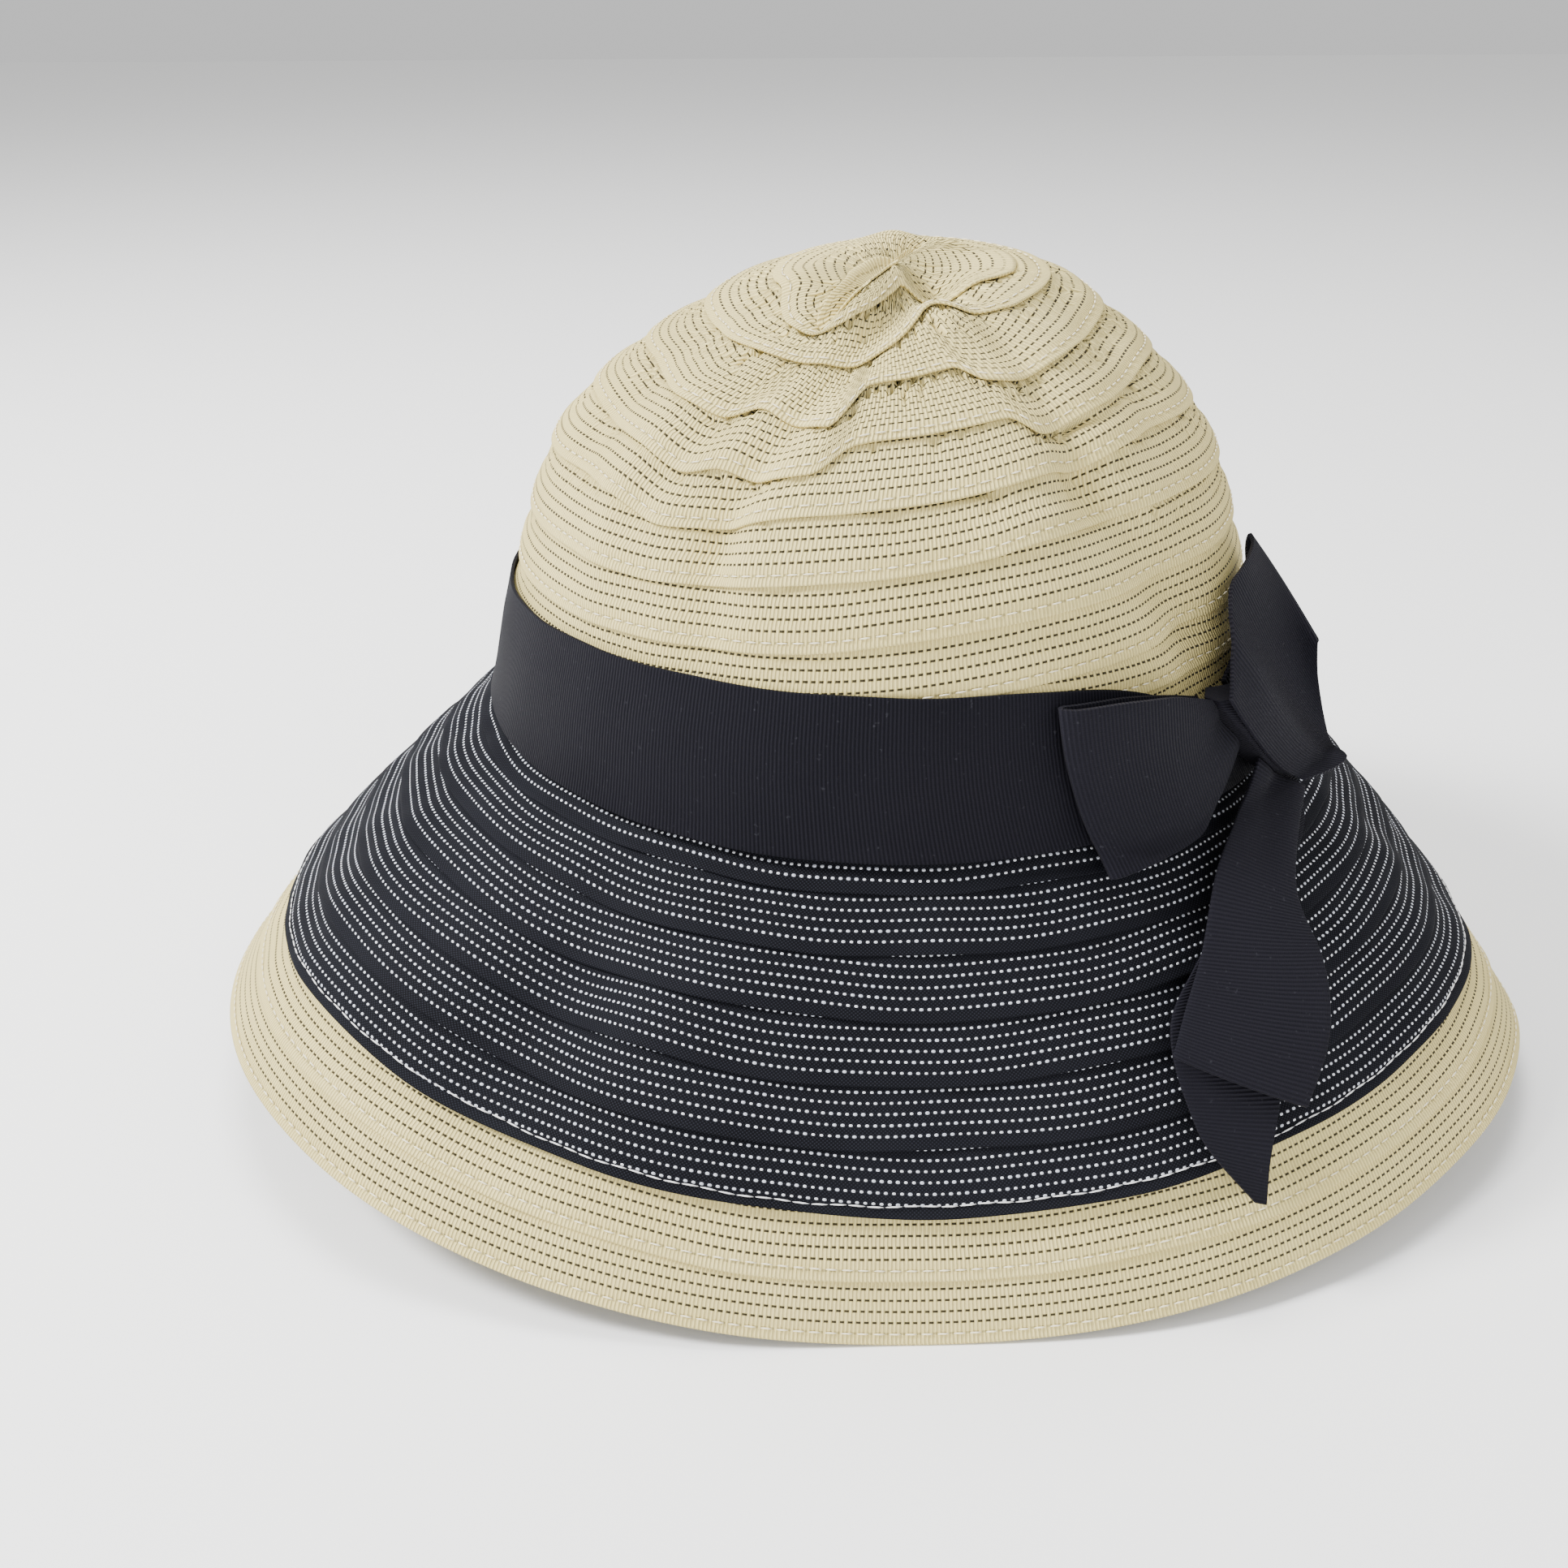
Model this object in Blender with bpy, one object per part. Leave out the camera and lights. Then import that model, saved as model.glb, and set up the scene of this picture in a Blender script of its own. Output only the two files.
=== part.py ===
"""Foldable sun hat sewn from overlapping rounds of ribbon.

Pieces: crown, brim, brim_edge, hat_band, bow_loop_front, bow_loop_back, bow_knot,
bow_tail_upper and bow_tail_under. The hat stands on the low points of its rim.
Axes: +Z up, -Y is the front of the hat, +X is the wearer's left, where the bow sits.
Angles are in degrees round the hat, from +X towards the back. "Down" is a distance along
the cloth from the head line: positive down the brim, negative up the crown.
"""

import math
from functools import lru_cache

import bmesh
import bpy
from mathutils import Vector

MM = 0.001

# Head line, where the crown meets the brim
HEAD_HALF_WIDTH = 94.0 * MM
HEAD_HALF_LENGTH = 99.6 * MM

# Crown
CROWN_HEIGHT = 104.0 * MM
CROWN_WALL = 1.2 * MM

# Brim, measured along the cloth
BRIM_WIDTH = 92.5 * MM
EDGE_WIDTH = 25.0 * MM
BRIM_WALL = 1.2 * MM
EDGE_WALL = 1.4 * MM
BRIM_STEEPEST = math.radians(57.5)
BRIM_CURL = math.radians(14.7)

# Rounds of ribbon
ROUND_WIDTH = 12.4 * MM
LAP_STEP = 0.6 * MM
LAP_RUN = 0.4 * MM
COLLAR = 6.0 * MM
EDGE_LAP = 4.0 * MM

# Band, made of the same ribbon as the bow
RIBBON_WIDTH = 38.0 * MM
RIBBON_THICK = 1.0 * MM
BAND_FOOT = 0.6 * MM
BAND_COVER = 4.0 * MM

# Bow: where its knot sits on the band, and how far its loops and tails reach from the knot
BOW_ANGLE = 317.9
KNOT_WIDTH = 10.5 * MM
KNOT_SLANT = 16.5 * MM
KNOT_ROUNDING = 2.5 * MM
FRONT_LOOP_REACH = 47.0 * MM
BACK_LOOP_REACH = 42.0 * MM
UPPER_TAIL_REACH = 61.5 * MM
UNDER_TAIL_REACH = 75.0 * MM

# Clearances between pieces, and between the knot's faceted sides and the ribbons' roots
GAP = 0.3 * MM
ROOT_GAP = 0.6 * MM

# Fineness of the meshes
COLUMNS = 60
TRACK_STEPS = 96
CROWN_INNER_ROWS = 9
BRIM_INNER_ROWS = 4
PLAIN_ROW_SHARES = (1.0, 0.72, 0.44, 0.25, 0.12, 0.0)
BAND_ROW_SHARES = (1.0, 0.75, 0.5, 0.3, 0.14, 0.0)
STEPS_PER_BOW_ROW = 2
STEPS_ACROSS_BOW = 3
KNOT_CUTS = 2
NORMAL_STEP = 2.0 * MM
NORMAL_TURN = 1.0
NORMAL_BLEND = 8.0 * MM
BOW_TURN = 40.0 * MM
BOW_TURN_STARTS = -10.0 * MM
TIP_CLEAR = 4.0 * MM
SHORTEST_ROW = 1.2 * MM
WELD = 0.001 * MM
SHARP_ANGLE = math.radians(35.0)

# Crown sections from the head line to the tip: height as a share of CROWN_HEIGHT; the reach to
# the sides as a share of HEAD_HALF_WIDTH, to the front and back as shares of HEAD_HALF_LENGTH;
# leans as shares of HEAD_HALF_WIDTH
CROWN_COLUMNS = ("height", "side", "front", "back", "lean_right", "lean_front")
CROWN_SECTIONS = (
    (0.000, 1.000, 1.000, 1.000, 0.000, 0.000),
    (0.046, 0.974, 0.974, 0.992, -0.008, 0.028),
    (0.112, 0.942, 0.942, 0.980, -0.019, 0.066),
    (0.255, 0.889, 0.889, 0.955, -0.033, 0.130),
    (0.428, 0.838, 0.844, 0.915, -0.033, 0.165),
    (0.622, 0.760, 0.768, 0.815, -0.028, 0.172),
    (0.754, 0.640, 0.655, 0.675, -0.012, 0.190),
    (0.880, 0.460, 0.490, 0.475, 0.012, 0.212),
    (0.962, 0.296, 0.345, 0.300, 0.026, 0.205),
    (1.000, 0.000, 0.000, 0.000, 0.030, 0.165),
)

# Creases and ridges of the crown: ends as angle and reach, where reach is the share of the way
# from the tip to the head line; width and depth as shares of ROUND_WIDTH, depth inwards
CREASE_COLUMNS = ("from_angle", "from_reach", "to_angle", "to_reach", "width", "depth")
CROWN_CREASES = (
    (279.0, 0.17, 241.0, 0.62, 0.45, 0.24),
    (281.0, 0.17, 303.0, 0.54, 0.45, 0.20),
    (240.0, 0.36, 226.0, 0.58, 0.45, 0.14),
    (268.0, 0.36, 276.0, 0.50, 1.60, 0.22),
    (330.0, 0.30, 322.0, 0.60, 0.70, 0.12),
    (200.0, 0.30, 205.0, 0.55, 0.60, 0.12),
    (215.0, 0.08, 330.0, 0.09, 0.32, 0.22),
    (180.0, 0.04, 20.0, 0.06, 0.35, -0.26),
)

# How the crown's laps wander from an even spiral, down the cloth, as a share of ROUND_WIDTH; the
# wander sets in and fades out at these shares of the way from the head line to the tip
WANDER_COLUMNS = ("angle", "wander")
LAP_WANDER = (
    (0.0, -0.35),
    (60.0, -0.10),
    (130.0, 0.00),
    (190.0, 0.00),
    (222.0, 0.18),
    (238.0, 0.25),
    (257.0, -0.08),
    (274.0, -0.36),
    (304.0, -0.82),
    (330.0, -0.55),
)
WANDER_STARTS = 0.22
WANDER_FULL = 0.34
WANDER_FADES = 0.80

# How far the rim stands off the ground round the hat, as a share of BRIM_WIDTH
LIFT_COLUMNS = ("angle", "lift")
RIM_LIFTS = (
    (0.0, 0.075),
    (30.0, 0.000),
    (60.0, 0.105),
    (90.0, 0.150),
    (120.0, 0.070),
    (150.0, 0.000),
    (180.0, 0.150),
    (210.0, 0.225),
    (240.0, 0.105),
    (270.0, 0.000),
    (300.0, 0.057),
    (330.0, 0.140),
)

# Soft folds that run down the brim: depth outwards as a share of BRIM_WIDTH, nothing at the head line
FOLD_COLUMNS = ("angle", "spread", "depth")
BRIM_FOLDS = (
    (228.0, 9.0, 0.022),
    (247.0, 7.0, -0.016),
    (341.0, 8.0, 0.018),
    (318.0, 7.0, -0.014),
    (75.0, 10.0, 0.020),
    (128.0, 8.0, -0.016),
)

# Ends of the knot and the ribbon over it, as shares of RIBBON_WIDTH
KNOT_TOP = -0.76
KNOT_FOOT = 0.04
SEAM_OFF = 0.245

# Sections across the bow's ribbons, one selvage and then the other. "Out" is the way from the
# knot as a share of the loop's or tail's reach; down is a share of RIBBON_WIDTH in the loops and
# of the reach in the tails; off is the stand-off from the band as a share of RIBBON_WIDTH.
BOW_COLUMNS = ("first_out", "first_down", "first_off", "other_out", "other_down", "other_off")
FRONT_LOOP = (
    (0.00, -0.76, 0.110, 0.00, -0.37, 0.110),
    (0.12, -0.84, 0.145, 0.38, -0.11, 0.121),
    (0.30, -0.91, 0.163, 0.65, 0.08, 0.132),
    (0.54, -0.93, 0.145, 0.88, 0.13, 0.132),
    (0.75, -0.92, 0.110, 1.07, 0.17, 0.116),
    (0.80, -0.92, 0.074, 1.11, 0.18, 0.079),
    (0.75, -0.91, 0.032, 1.07, 0.16, 0.036),
    (0.48, -0.90, 0.030, 0.80, 0.08, 0.034),
    (0.20, -0.84, 0.030, 0.45, -0.05, 0.032),
    (0.00, -0.76, 0.030, 0.00, -0.37, 0.032),
)
BACK_LOOP = (
    (-0.25, -0.80, SEAM_OFF, -0.25, 0.06, SEAM_OFF),
    (0.00, -1.05, 0.250, 0.00, 0.16, 0.300),
    (0.37, -1.36, 0.110, 0.20, -0.22, 0.345),
    (0.95, -1.44, 0.070, 0.55, -0.90, 0.395),
    (1.02, -1.46, 0.048, 0.61, -0.93, 0.350),
    (0.93, -1.38, 0.025, 0.55, -0.80, 0.300),
    (0.55, -1.10, 0.035, 0.41, -0.20, 0.170),
    (0.25, -0.90, 0.032, 0.20, -0.08, 0.080),
    (0.00, -0.76, 0.030, 0.00, -0.05, 0.050),
)
UPPER_TAIL = (
    (0.000, -0.180, 0.180, 0.000, 0.090, 0.180),
    (0.272, -0.016, 0.185, 0.203, 0.195, 0.172),
    (0.553, 0.171, 0.164, 0.454, 0.407, 0.158),
    (0.827, 0.439, 0.142, 0.574, 0.618, 0.158),
    (0.966, 0.569, 0.137, 0.725, 0.813, 0.145),
    (1.104, 0.707, 0.158, 0.939, 1.000, 0.118),
)
UNDER_TAIL = (
    (0.107, 0.032, 0.100, -0.090, 0.032, 0.100),
    (0.300, 0.120, 0.070, 0.057, 0.160, 0.080),
    (0.597, 0.320, 0.063, 0.341, 0.313, 0.068),
    (0.842, 0.507, 0.063, 0.590, 0.560, 0.063),
    (0.934, 0.693, 0.063, 0.783, 0.773, 0.063),
    (0.976, 0.840, 0.063, 0.912, 0.920, 0.063),
    (0.987, 0.993, 0.063, 0.976, 1.007, 0.063),
)

# Colours, linear, and roughness of the materials
MATERIALS = {
    "natural_ribbon": ((0.60, 0.54, 0.39, 1.0), 0.8),
    "navy_ribbon": ((0.020, 0.022, 0.035, 1.0), 0.8),
    "black_ribbon": ((0.012, 0.012, 0.018, 1.0), 0.7),
}


def smooth_rise(x):
    """Ease from 0 to 1."""
    x = min(max(x, 0.0), 1.0)
    return x * x * (3.0 - 2.0 * x)


def curve_value(places, values, x):
    """Smooth curve through the values that never overshoots between two of them."""
    last = len(places) - 1
    if x <= places[0]:
        return values[0]
    if x >= places[last]:
        return values[last]
    steps = [(values[k + 1] - values[k]) / (places[k + 1] - places[k]) for k in range(last)]
    k = max(i for i in range(last) if places[i] <= x)

    def tangent(i):
        if i in (0, last):
            return steps[min(i, last - 1)]
        before, after = steps[i - 1], steps[i]
        if before * after <= 0.0:
            return 0.0
        return 2.0 * before * after / (before + after)

    width = places[k + 1] - places[k]
    t = (x - places[k]) / width
    ahead = t * t * (3.0 - 2.0 * t)
    bend = width * t * (1.0 - t) * ((1.0 - t) * tangent(k) - t * tangent(k + 1))
    return values[k] * (1.0 - ahead) + values[k + 1] * ahead + bend


def column_of(table, names, name):
    """One named column of a table."""
    place = names.index(name)
    return [row[place] for row in table]


def round_value(table, names, angle):
    """Smooth value round the hat from a table of angles and values."""
    angles, values = (column_of(table, names, name) for name in names)
    turns = [a - 360.0 for a in angles] + angles + [a + 360.0 for a in angles]
    return curve_value(turns, values * 3, angle % 360.0)


def outward(angle):
    """Level direction away from the hat's axis."""
    return Vector((math.cos(math.radians(angle)), math.sin(math.radians(angle)), 0.0))


def turn_of(length):
    """Degrees round the head line that a length takes up."""
    return math.degrees(length / HEAD_HALF_WIDTH)


# The rim and the height of the head line

@lru_cache(maxsize=None)
def rim_lift(angle):
    """How far the rim stands off the ground at an angle."""
    return BRIM_WIDTH * round_value(RIM_LIFTS, LIFT_COLUMNS, angle)


def lap_wander(angle, down):
    """How far down the cloth a lap of the crown strays, fading to nothing at the band and the tip."""
    place = -down / crown_length()
    fade = smooth_rise((place - WANDER_STARTS) / (WANDER_FULL - WANDER_STARTS))
    fade *= smooth_rise((1.0 - place) / (1.0 - WANDER_FADES))
    return ROUND_WIDTH * round_value(LAP_WANDER, WANDER_COLUMNS, angle) * fade


def brim_drop():
    """Height of the head line's cloth over the low points of the rim's cloth."""
    chord = math.sin(BRIM_CURL / 2.0) / (BRIM_CURL / 2.0)
    return BRIM_WIDTH * chord * math.sin(BRIM_STEEPEST)


def brim_depth():
    """From the crown's outer surface in to the brim's."""
    return CROWN_WALL + GAP


def edge_depth():
    """From the crown's outer surface in to the brim edge's."""
    return brim_depth() + BRIM_WALL + GAP


def head_line_height():
    """Height of the head line when the rim's low points touch the ground."""
    underside = edge_depth() + EDGE_WALL
    return brim_drop() + underside * math.cos(BRIM_STEEPEST + BRIM_CURL / 2.0)


# Smooth surfaces of the crown and the brim

@lru_cache(maxsize=None)
def crown_rows():
    """Crown sections at even steps from the head line to the tip."""
    stations = [k / (len(CROWN_SECTIONS) - 1) for k in range(len(CROWN_SECTIONS))]
    columns = [column_of(CROWN_SECTIONS, CROWN_COLUMNS, name) for name in CROWN_COLUMNS]
    places = [step / TRACK_STEPS for step in range(TRACK_STEPS + 1)]
    return [[curve_value(stations, column, place) for column in columns] for place in places]


@lru_cache(maxsize=None)
def crown_track(angle):
    """Points evenly spaced along the cloth from the head line to the tip, and its length."""
    way = outward(angle)
    points = []
    for height, side, front, back, lean_right, lean_front in crown_rows():
        reach = back if way.y > 0.0 else front
        points.append(Vector((
            HEAD_HALF_WIDTH * (side * way.x + lean_right),
            HEAD_HALF_LENGTH * reach * way.y - HEAD_HALF_WIDTH * lean_front,
            head_line_height() + CROWN_HEIGHT * height)))
    lengths = [0.0]
    for k in range(TRACK_STEPS):
        lengths.append(lengths[-1] + (points[k + 1] - points[k]).length)
    even = []
    k = 0
    for step in range(TRACK_STEPS + 1):
        wanted = lengths[-1] * step / TRACK_STEPS
        while k < TRACK_STEPS - 1 and lengths[k + 1] < wanted:
            k += 1
        even.append(points[k].lerp(points[k + 1], (wanted - lengths[k]) / (lengths[k + 1] - lengths[k])))
    return even, lengths[-1]


@lru_cache(maxsize=None)
def crown_length():
    """Mean length of cloth from the head line to the tip."""
    return sum(crown_track(360.0 * k / COLUMNS)[1] for k in range(COLUMNS)) / COLUMNS


def crown_smooth(angle, down):
    """Crown surface without creases."""
    track = crown_track(round(angle % 360.0, 3))[0]
    place = min(max(-down / crown_length(), 0.0), 1.0) * TRACK_STEPS
    k = min(int(place), TRACK_STEPS - 1)
    return track[k].lerp(track[k + 1], place - k)


def brim_smooth(angle, down):
    """Brim surface without folds: each section is an arc that starts at the head line."""
    chord = math.sin(BRIM_CURL / 2.0) / (BRIM_CURL / 2.0)
    slope = math.asin((brim_drop() - rim_lift(round(angle % 360.0, 3))) / (BRIM_WIDTH * chord))
    start = slope - BRIM_CURL / 2.0
    here = start + BRIM_CURL * down / BRIM_WIDTH
    radius = BRIM_WIDTH / BRIM_CURL
    way = outward(angle)
    point = Vector((HEAD_HALF_WIDTH * way.x, HEAD_HALF_LENGTH * way.y, head_line_height()))
    point += way * radius * (math.sin(here) - math.sin(start))
    point.z -= radius * (math.cos(start) - math.cos(here))
    return point


def normal_of(surface, angle, low, high):
    """Outward normal between two places on one line down the cloth."""
    middle = (low + high) / 2.0
    across = surface(angle + NORMAL_TURN, middle) - surface(angle - NORMAL_TURN, middle)
    along = surface(angle, high) - surface(angle, low)
    return across.cross(along).normalized()


# Creases, folds and the surface that every piece is laid on

def crease_depth(angle, down):
    """How far the crown is pushed in by its creases."""
    reach = 1.0 + down / crown_length()
    here = outward(angle) * reach
    depth = 0.0
    for values in CROWN_CREASES:
        row = dict(zip(CREASE_COLUMNS, values))
        start = outward(row["from_angle"]) * row["from_reach"]
        line = outward(row["to_angle"]) * row["to_reach"] - start
        t = min(max((here - start).dot(line) / line.length_squared, 0.0), 1.0)
        away = (here - start - line * t).length * crown_length() / (row["width"] * ROUND_WIDTH)
        depth += row["depth"] * ROUND_WIDTH * math.exp(-away * away)
    return depth


def fold_height(angle, down):
    """How far the brim stands out in its soft folds."""
    height = 0.0
    for values in BRIM_FOLDS:
        row = dict(zip(FOLD_COLUMNS, values))
        away = (angle - row["angle"] + 180.0) % 360.0 - 180.0
        height += row["depth"] * math.exp(-((away / row["spread"]) ** 2))
    return BRIM_WIDTH * height * smooth_rise(down / BRIM_WIDTH)


def hat_normal(angle, down):
    """Outward normal of the cloth, turning smoothly from the crown to the brim."""
    step = NORMAL_STEP
    on_crown = min(down, -step)
    on_brim = max(down, step)
    turned = smooth_rise(0.5 + down / (2.0 * NORMAL_BLEND))
    normal = normal_of(brim_smooth, angle, on_brim + step, on_brim - step) * turned
    normal += normal_of(crown_smooth, angle, on_crown + step, on_crown - step) * (1.0 - turned)
    return normal.normalized()


def hat_surface(angle, down, offset=0.0):
    """Outer surface of the crown, carried on down the brim, moved outwards by offset."""
    if down <= -crown_length():
        offset -= crease_depth(angle, down)
        return crown_smooth(0.0, down) + Vector((0.0, 0.0, offset)) - plan_centre()
    if down < 0.0:
        point = crown_smooth(angle, down)
        offset -= crease_depth(angle, down)
    else:
        point = brim_smooth(angle, down)
        offset += fold_height(angle, down)
    return point + offset * hat_normal(angle, down) - plan_centre()


@lru_cache(maxsize=None)
def plan_centre():
    """Middle of the rim's outline, which is moved to the origin."""
    rim = [brim_smooth(360.0 * k / COLUMNS, BRIM_WIDTH) for k in range(COLUMNS)]
    middle_x = (min(p.x for p in rim) + max(p.x for p in rim)) / 2.0
    middle_y = (min(p.y for p in rim) + max(p.y for p in rim)) / 2.0
    return Vector((middle_x, middle_y, 0.0))


# Building closed shells from two sheets

def add_sheet(bm, rows, tag, spiral_rows=0, foot=0.0):
    """Wrap a grid of rows (down, offset) round the hat, weld its seam and mark its two ends.

    The spiral's rows climb by one round in each turn, between the tip and the spiral's foot.
    """
    last = len(rows) - 1
    tip = -crown_length()
    made = bmesh.ops.create_grid(bm, x_segments=COLUMNS, y_segments=last, size=0.5)
    for vertex in made["verts"]:
        column = round((vertex.co.x + 0.5) * COLUMNS)
        row = round((vertex.co.y + 0.5) * last)
        down, offset = rows[row]
        if row < spiral_rows:
            down -= ROUND_WIDTH * column / COLUMNS
            down += lap_wander(360.0 * column / COLUMNS, down)
            if down < tip + TIP_CLEAR:
                down, offset = tip, 0.0
            if down > foot - SHORTEST_ROW:
                down, offset = foot, 0.0
        vertex[tag] = 1 if row == 0 else 2 if row == last else 0
        vertex.co = hat_surface(360.0 * column / COLUMNS, down, offset)
    bmesh.ops.remove_doubles(bm, verts=made["verts"], dist=WELD)


def join_ends(bm, tag, end):
    """Bridge the two sheets along one end."""
    open_edges = [edge for edge in bm.edges
                  if edge.is_boundary and all(vertex[tag] == end for vertex in edge.verts)]
    bmesh.ops.bridge_loops(bm, edges=open_edges)


def wrapped_shell(name, material, outer, inner, spiral_rows=0, foot=0.0):
    """Closed shell between an outer and an inner sheet of rows."""
    bm = bmesh.new()
    tag = bm.verts.layers.int.new("end")
    add_sheet(bm, outer, tag, spiral_rows, foot)
    add_sheet(bm, inner, tag)
    if not spiral_rows:
        join_ends(bm, tag, 1)
    join_ends(bm, tag, 2)
    return finish(bm, name, material)


def finish(bm, name, material):
    """Turn the mesh into a named object with its material."""
    bmesh.ops.dissolve_degenerate(bm, edges=bm.edges, dist=WELD)
    bmesh.ops.recalc_face_normals(bm, faces=bm.faces)
    mesh = bpy.data.meshes.new(name)
    bm.to_mesh(mesh)
    bm.free()
    mesh.shade_smooth()
    mesh.set_sharp_from_angle(angle=SHARP_ANGLE)
    mesh.materials.append(material_named(material))
    piece = bpy.data.objects.new(name, mesh)
    bpy.context.collection.objects.link(piece)
    return piece


def material_named(name):
    """Principled material, made once."""
    if name in bpy.data.materials:
        return bpy.data.materials[name]
    colour, roughness = MATERIALS[name]
    material = bpy.data.materials.new(name)
    material.use_nodes = True
    shader = material.node_tree.nodes["Principled BSDF"]
    shader.inputs["Base Color"].default_value = colour
    shader.inputs["Roughness"].default_value = roughness
    shader.inputs["Metallic"].default_value = 0.0
    material.diffuse_color = colour
    return material


# Crown, brim, brim edge and band

def build_crown():
    """Domed crown, one spiral of ribbon down to the band, open at the head line."""
    tip = -crown_length()
    spiral_foot = BAND_COVER - RIBBON_WIDTH
    outer = []
    edge = tip
    while edge < spiral_foot + ROUND_WIDTH:
        outer.append((edge, LAP_STEP))
        outer.append((edge + LAP_RUN, 0.0))
        edge += ROUND_WIDTH
    spiral_rows = len(outer)
    outer += [(spiral_foot * share, 0.0) for share in PLAIN_ROW_SHARES]
    inner = [(tip * (1.0 - k / CROWN_INNER_ROWS), -CROWN_WALL) for k in range(CROWN_INNER_ROWS)]
    inner += [(-COLLAR, -CROWN_WALL), (0.0, -CROWN_WALL)]
    return wrapped_shell("crown", "natural_ribbon", outer, inner, spiral_rows, spiral_foot)


def build_brim():
    """Navy brim with a collar inside the crown; its rounds lap like shingles."""
    foot = BRIM_WIDTH - EDGE_WIDTH
    depth = -brim_depth()
    outer = [(foot, depth + LAP_STEP)]
    edge = foot - ROUND_WIDTH
    while edge > SHORTEST_ROW:
        outer += [(edge + LAP_RUN, depth), (edge, depth + LAP_STEP)]
        edge -= ROUND_WIDTH
    outer += [(0.0, depth), (-COLLAR, depth)]
    outer.reverse()
    inner = [(-COLLAR, depth - BRIM_WALL)]
    inner += [((foot - EDGE_LAP) * k / BRIM_INNER_ROWS, depth - BRIM_WALL)
              for k in range(BRIM_INNER_ROWS + 1)]
    inner.append((foot, depth - BRIM_WALL))
    return wrapped_shell("brim", "navy_ribbon", outer, inner)


def build_brim_edge():
    """Two natural rounds under the navy brim's lower edge, which carry the hat on its rim."""
    top = BRIM_WIDTH - EDGE_WIDTH
    middle = BRIM_WIDTH - EDGE_WIDTH / 2.0
    depth = -edge_depth()
    outer = [(top - EDGE_LAP, depth), (top + LAP_RUN, depth), (middle, depth + LAP_STEP),
             (middle + LAP_RUN, depth), (BRIM_WIDTH, depth + LAP_STEP)]
    inner = [(place, depth - EDGE_WALL) for place in (top - EDGE_LAP, middle, BRIM_WIDTH)]
    return wrapped_shell("brim_edge", "natural_ribbon", outer, inner)


def band_off():
    """From the crown's outer surface out to the band's."""
    return LAP_STEP + GAP + RIBBON_THICK


def build_band():
    """Flat ribbon round the foot of the crown."""
    places = [-BAND_FOOT - RIBBON_WIDTH * share for share in BAND_ROW_SHARES]
    outer = [(place, band_off()) for place in places]
    inner = [(place, band_off() - RIBBON_THICK) for place in places]
    return wrapped_shell("hat_band", "black_ribbon", outer, inner)


# Bow

def bow_point(angle, down, off):
    """Place for the bow's ribbons: off the band, level at the band and square to the brim below."""
    turned = smooth_rise((down - BOW_TURN_STARTS) / BOW_TURN)
    way = outward(angle) * (1.0 - turned) + hat_normal(angle, max(down, NORMAL_BLEND)) * turned
    return hat_surface(angle, down, band_off()) + off * way.normalized()


def knot_face(down):
    """Angle of the knot's front face, which leans back as it comes down."""
    return BOW_ANGLE + turn_of(KNOT_SLANT) * (down / RIBBON_WIDTH + 0.5)


def build_knot():
    """Rounded knot between the band and the ribbon that passes over it."""
    bm = bmesh.new()
    bmesh.ops.create_cube(bm, size=2.0)
    bmesh.ops.subdivide_edges(bm, edges=bm.edges, cuts=KNOT_CUTS, use_grid_fill=True)
    lengthwise = [edge for edge in bm.edges
                  if abs(edge.verts[0].co.y - edge.verts[1].co.y) > WELD]
    bmesh.ops.subdivide_edges(bm, edges=lengthwise, cuts=KNOT_CUTS, use_grid_fill=True)
    depth = SEAM_OFF * RIBBON_WIDTH - RIBBON_THICK / 2.0 - GAP
    for vertex in bm.verts:
        side, end, rise = vertex.co
        down = RIBBON_WIDTH * (KNOT_TOP + (KNOT_FOOT - KNOT_TOP) * (end + 1.0) / 2.0)
        corner = math.sqrt(max(side * side + end * end - 1.0, 0.0))
        off = GAP + (depth - GAP) * (rise + 1.0) / 2.0 - rise * KNOT_ROUNDING * corner
        angle = knot_face(down) + turn_of(KNOT_WIDTH) * (side + 1.0) / 2.0
        vertex.co = bow_point(angle, down, off)
    return finish(bm, "bow_knot", "black_ribbon")


def bow_strip(name, table, reach, length, start, way):
    """Strip of ribbon through the sections of a table; start is its root's place past the knot's face."""
    steps = (len(table) - 1) * STEPS_PER_BOW_ROW
    columns = {key: column_of(table, BOW_COLUMNS, key) for key in BOW_COLUMNS}
    stations = list(range(len(table)))
    bm = bmesh.new()
    bmesh.ops.create_grid(bm, x_segments=steps, y_segments=STEPS_ACROSS_BOW, size=0.5)
    for vertex in bm.verts:
        station = (vertex.co.x + 0.5) * (len(table) - 1)
        across = vertex.co.y + 0.5
        row = {key: curve_value(stations, columns[key], station) for key in BOW_COLUMNS}
        out = row["first_out"] * (1.0 - across) + row["other_out"] * across
        down = length * (row["first_down"] * (1.0 - across) + row["other_down"] * across)
        off = RIBBON_WIDTH * (row["first_off"] * (1.0 - across) + row["other_off"] * across)
        angle = knot_face(down) + turn_of(start + way * (ROOT_GAP + out * reach))
        vertex.co = bow_point(angle, down, off)
    piece = finish(bm, name, "black_ribbon")
    solid = piece.modifiers.new("Ribbon", "SOLIDIFY")
    solid.thickness = RIBBON_THICK
    solid.offset = 0.0
    solid.use_even_offset = True
    return piece


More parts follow.
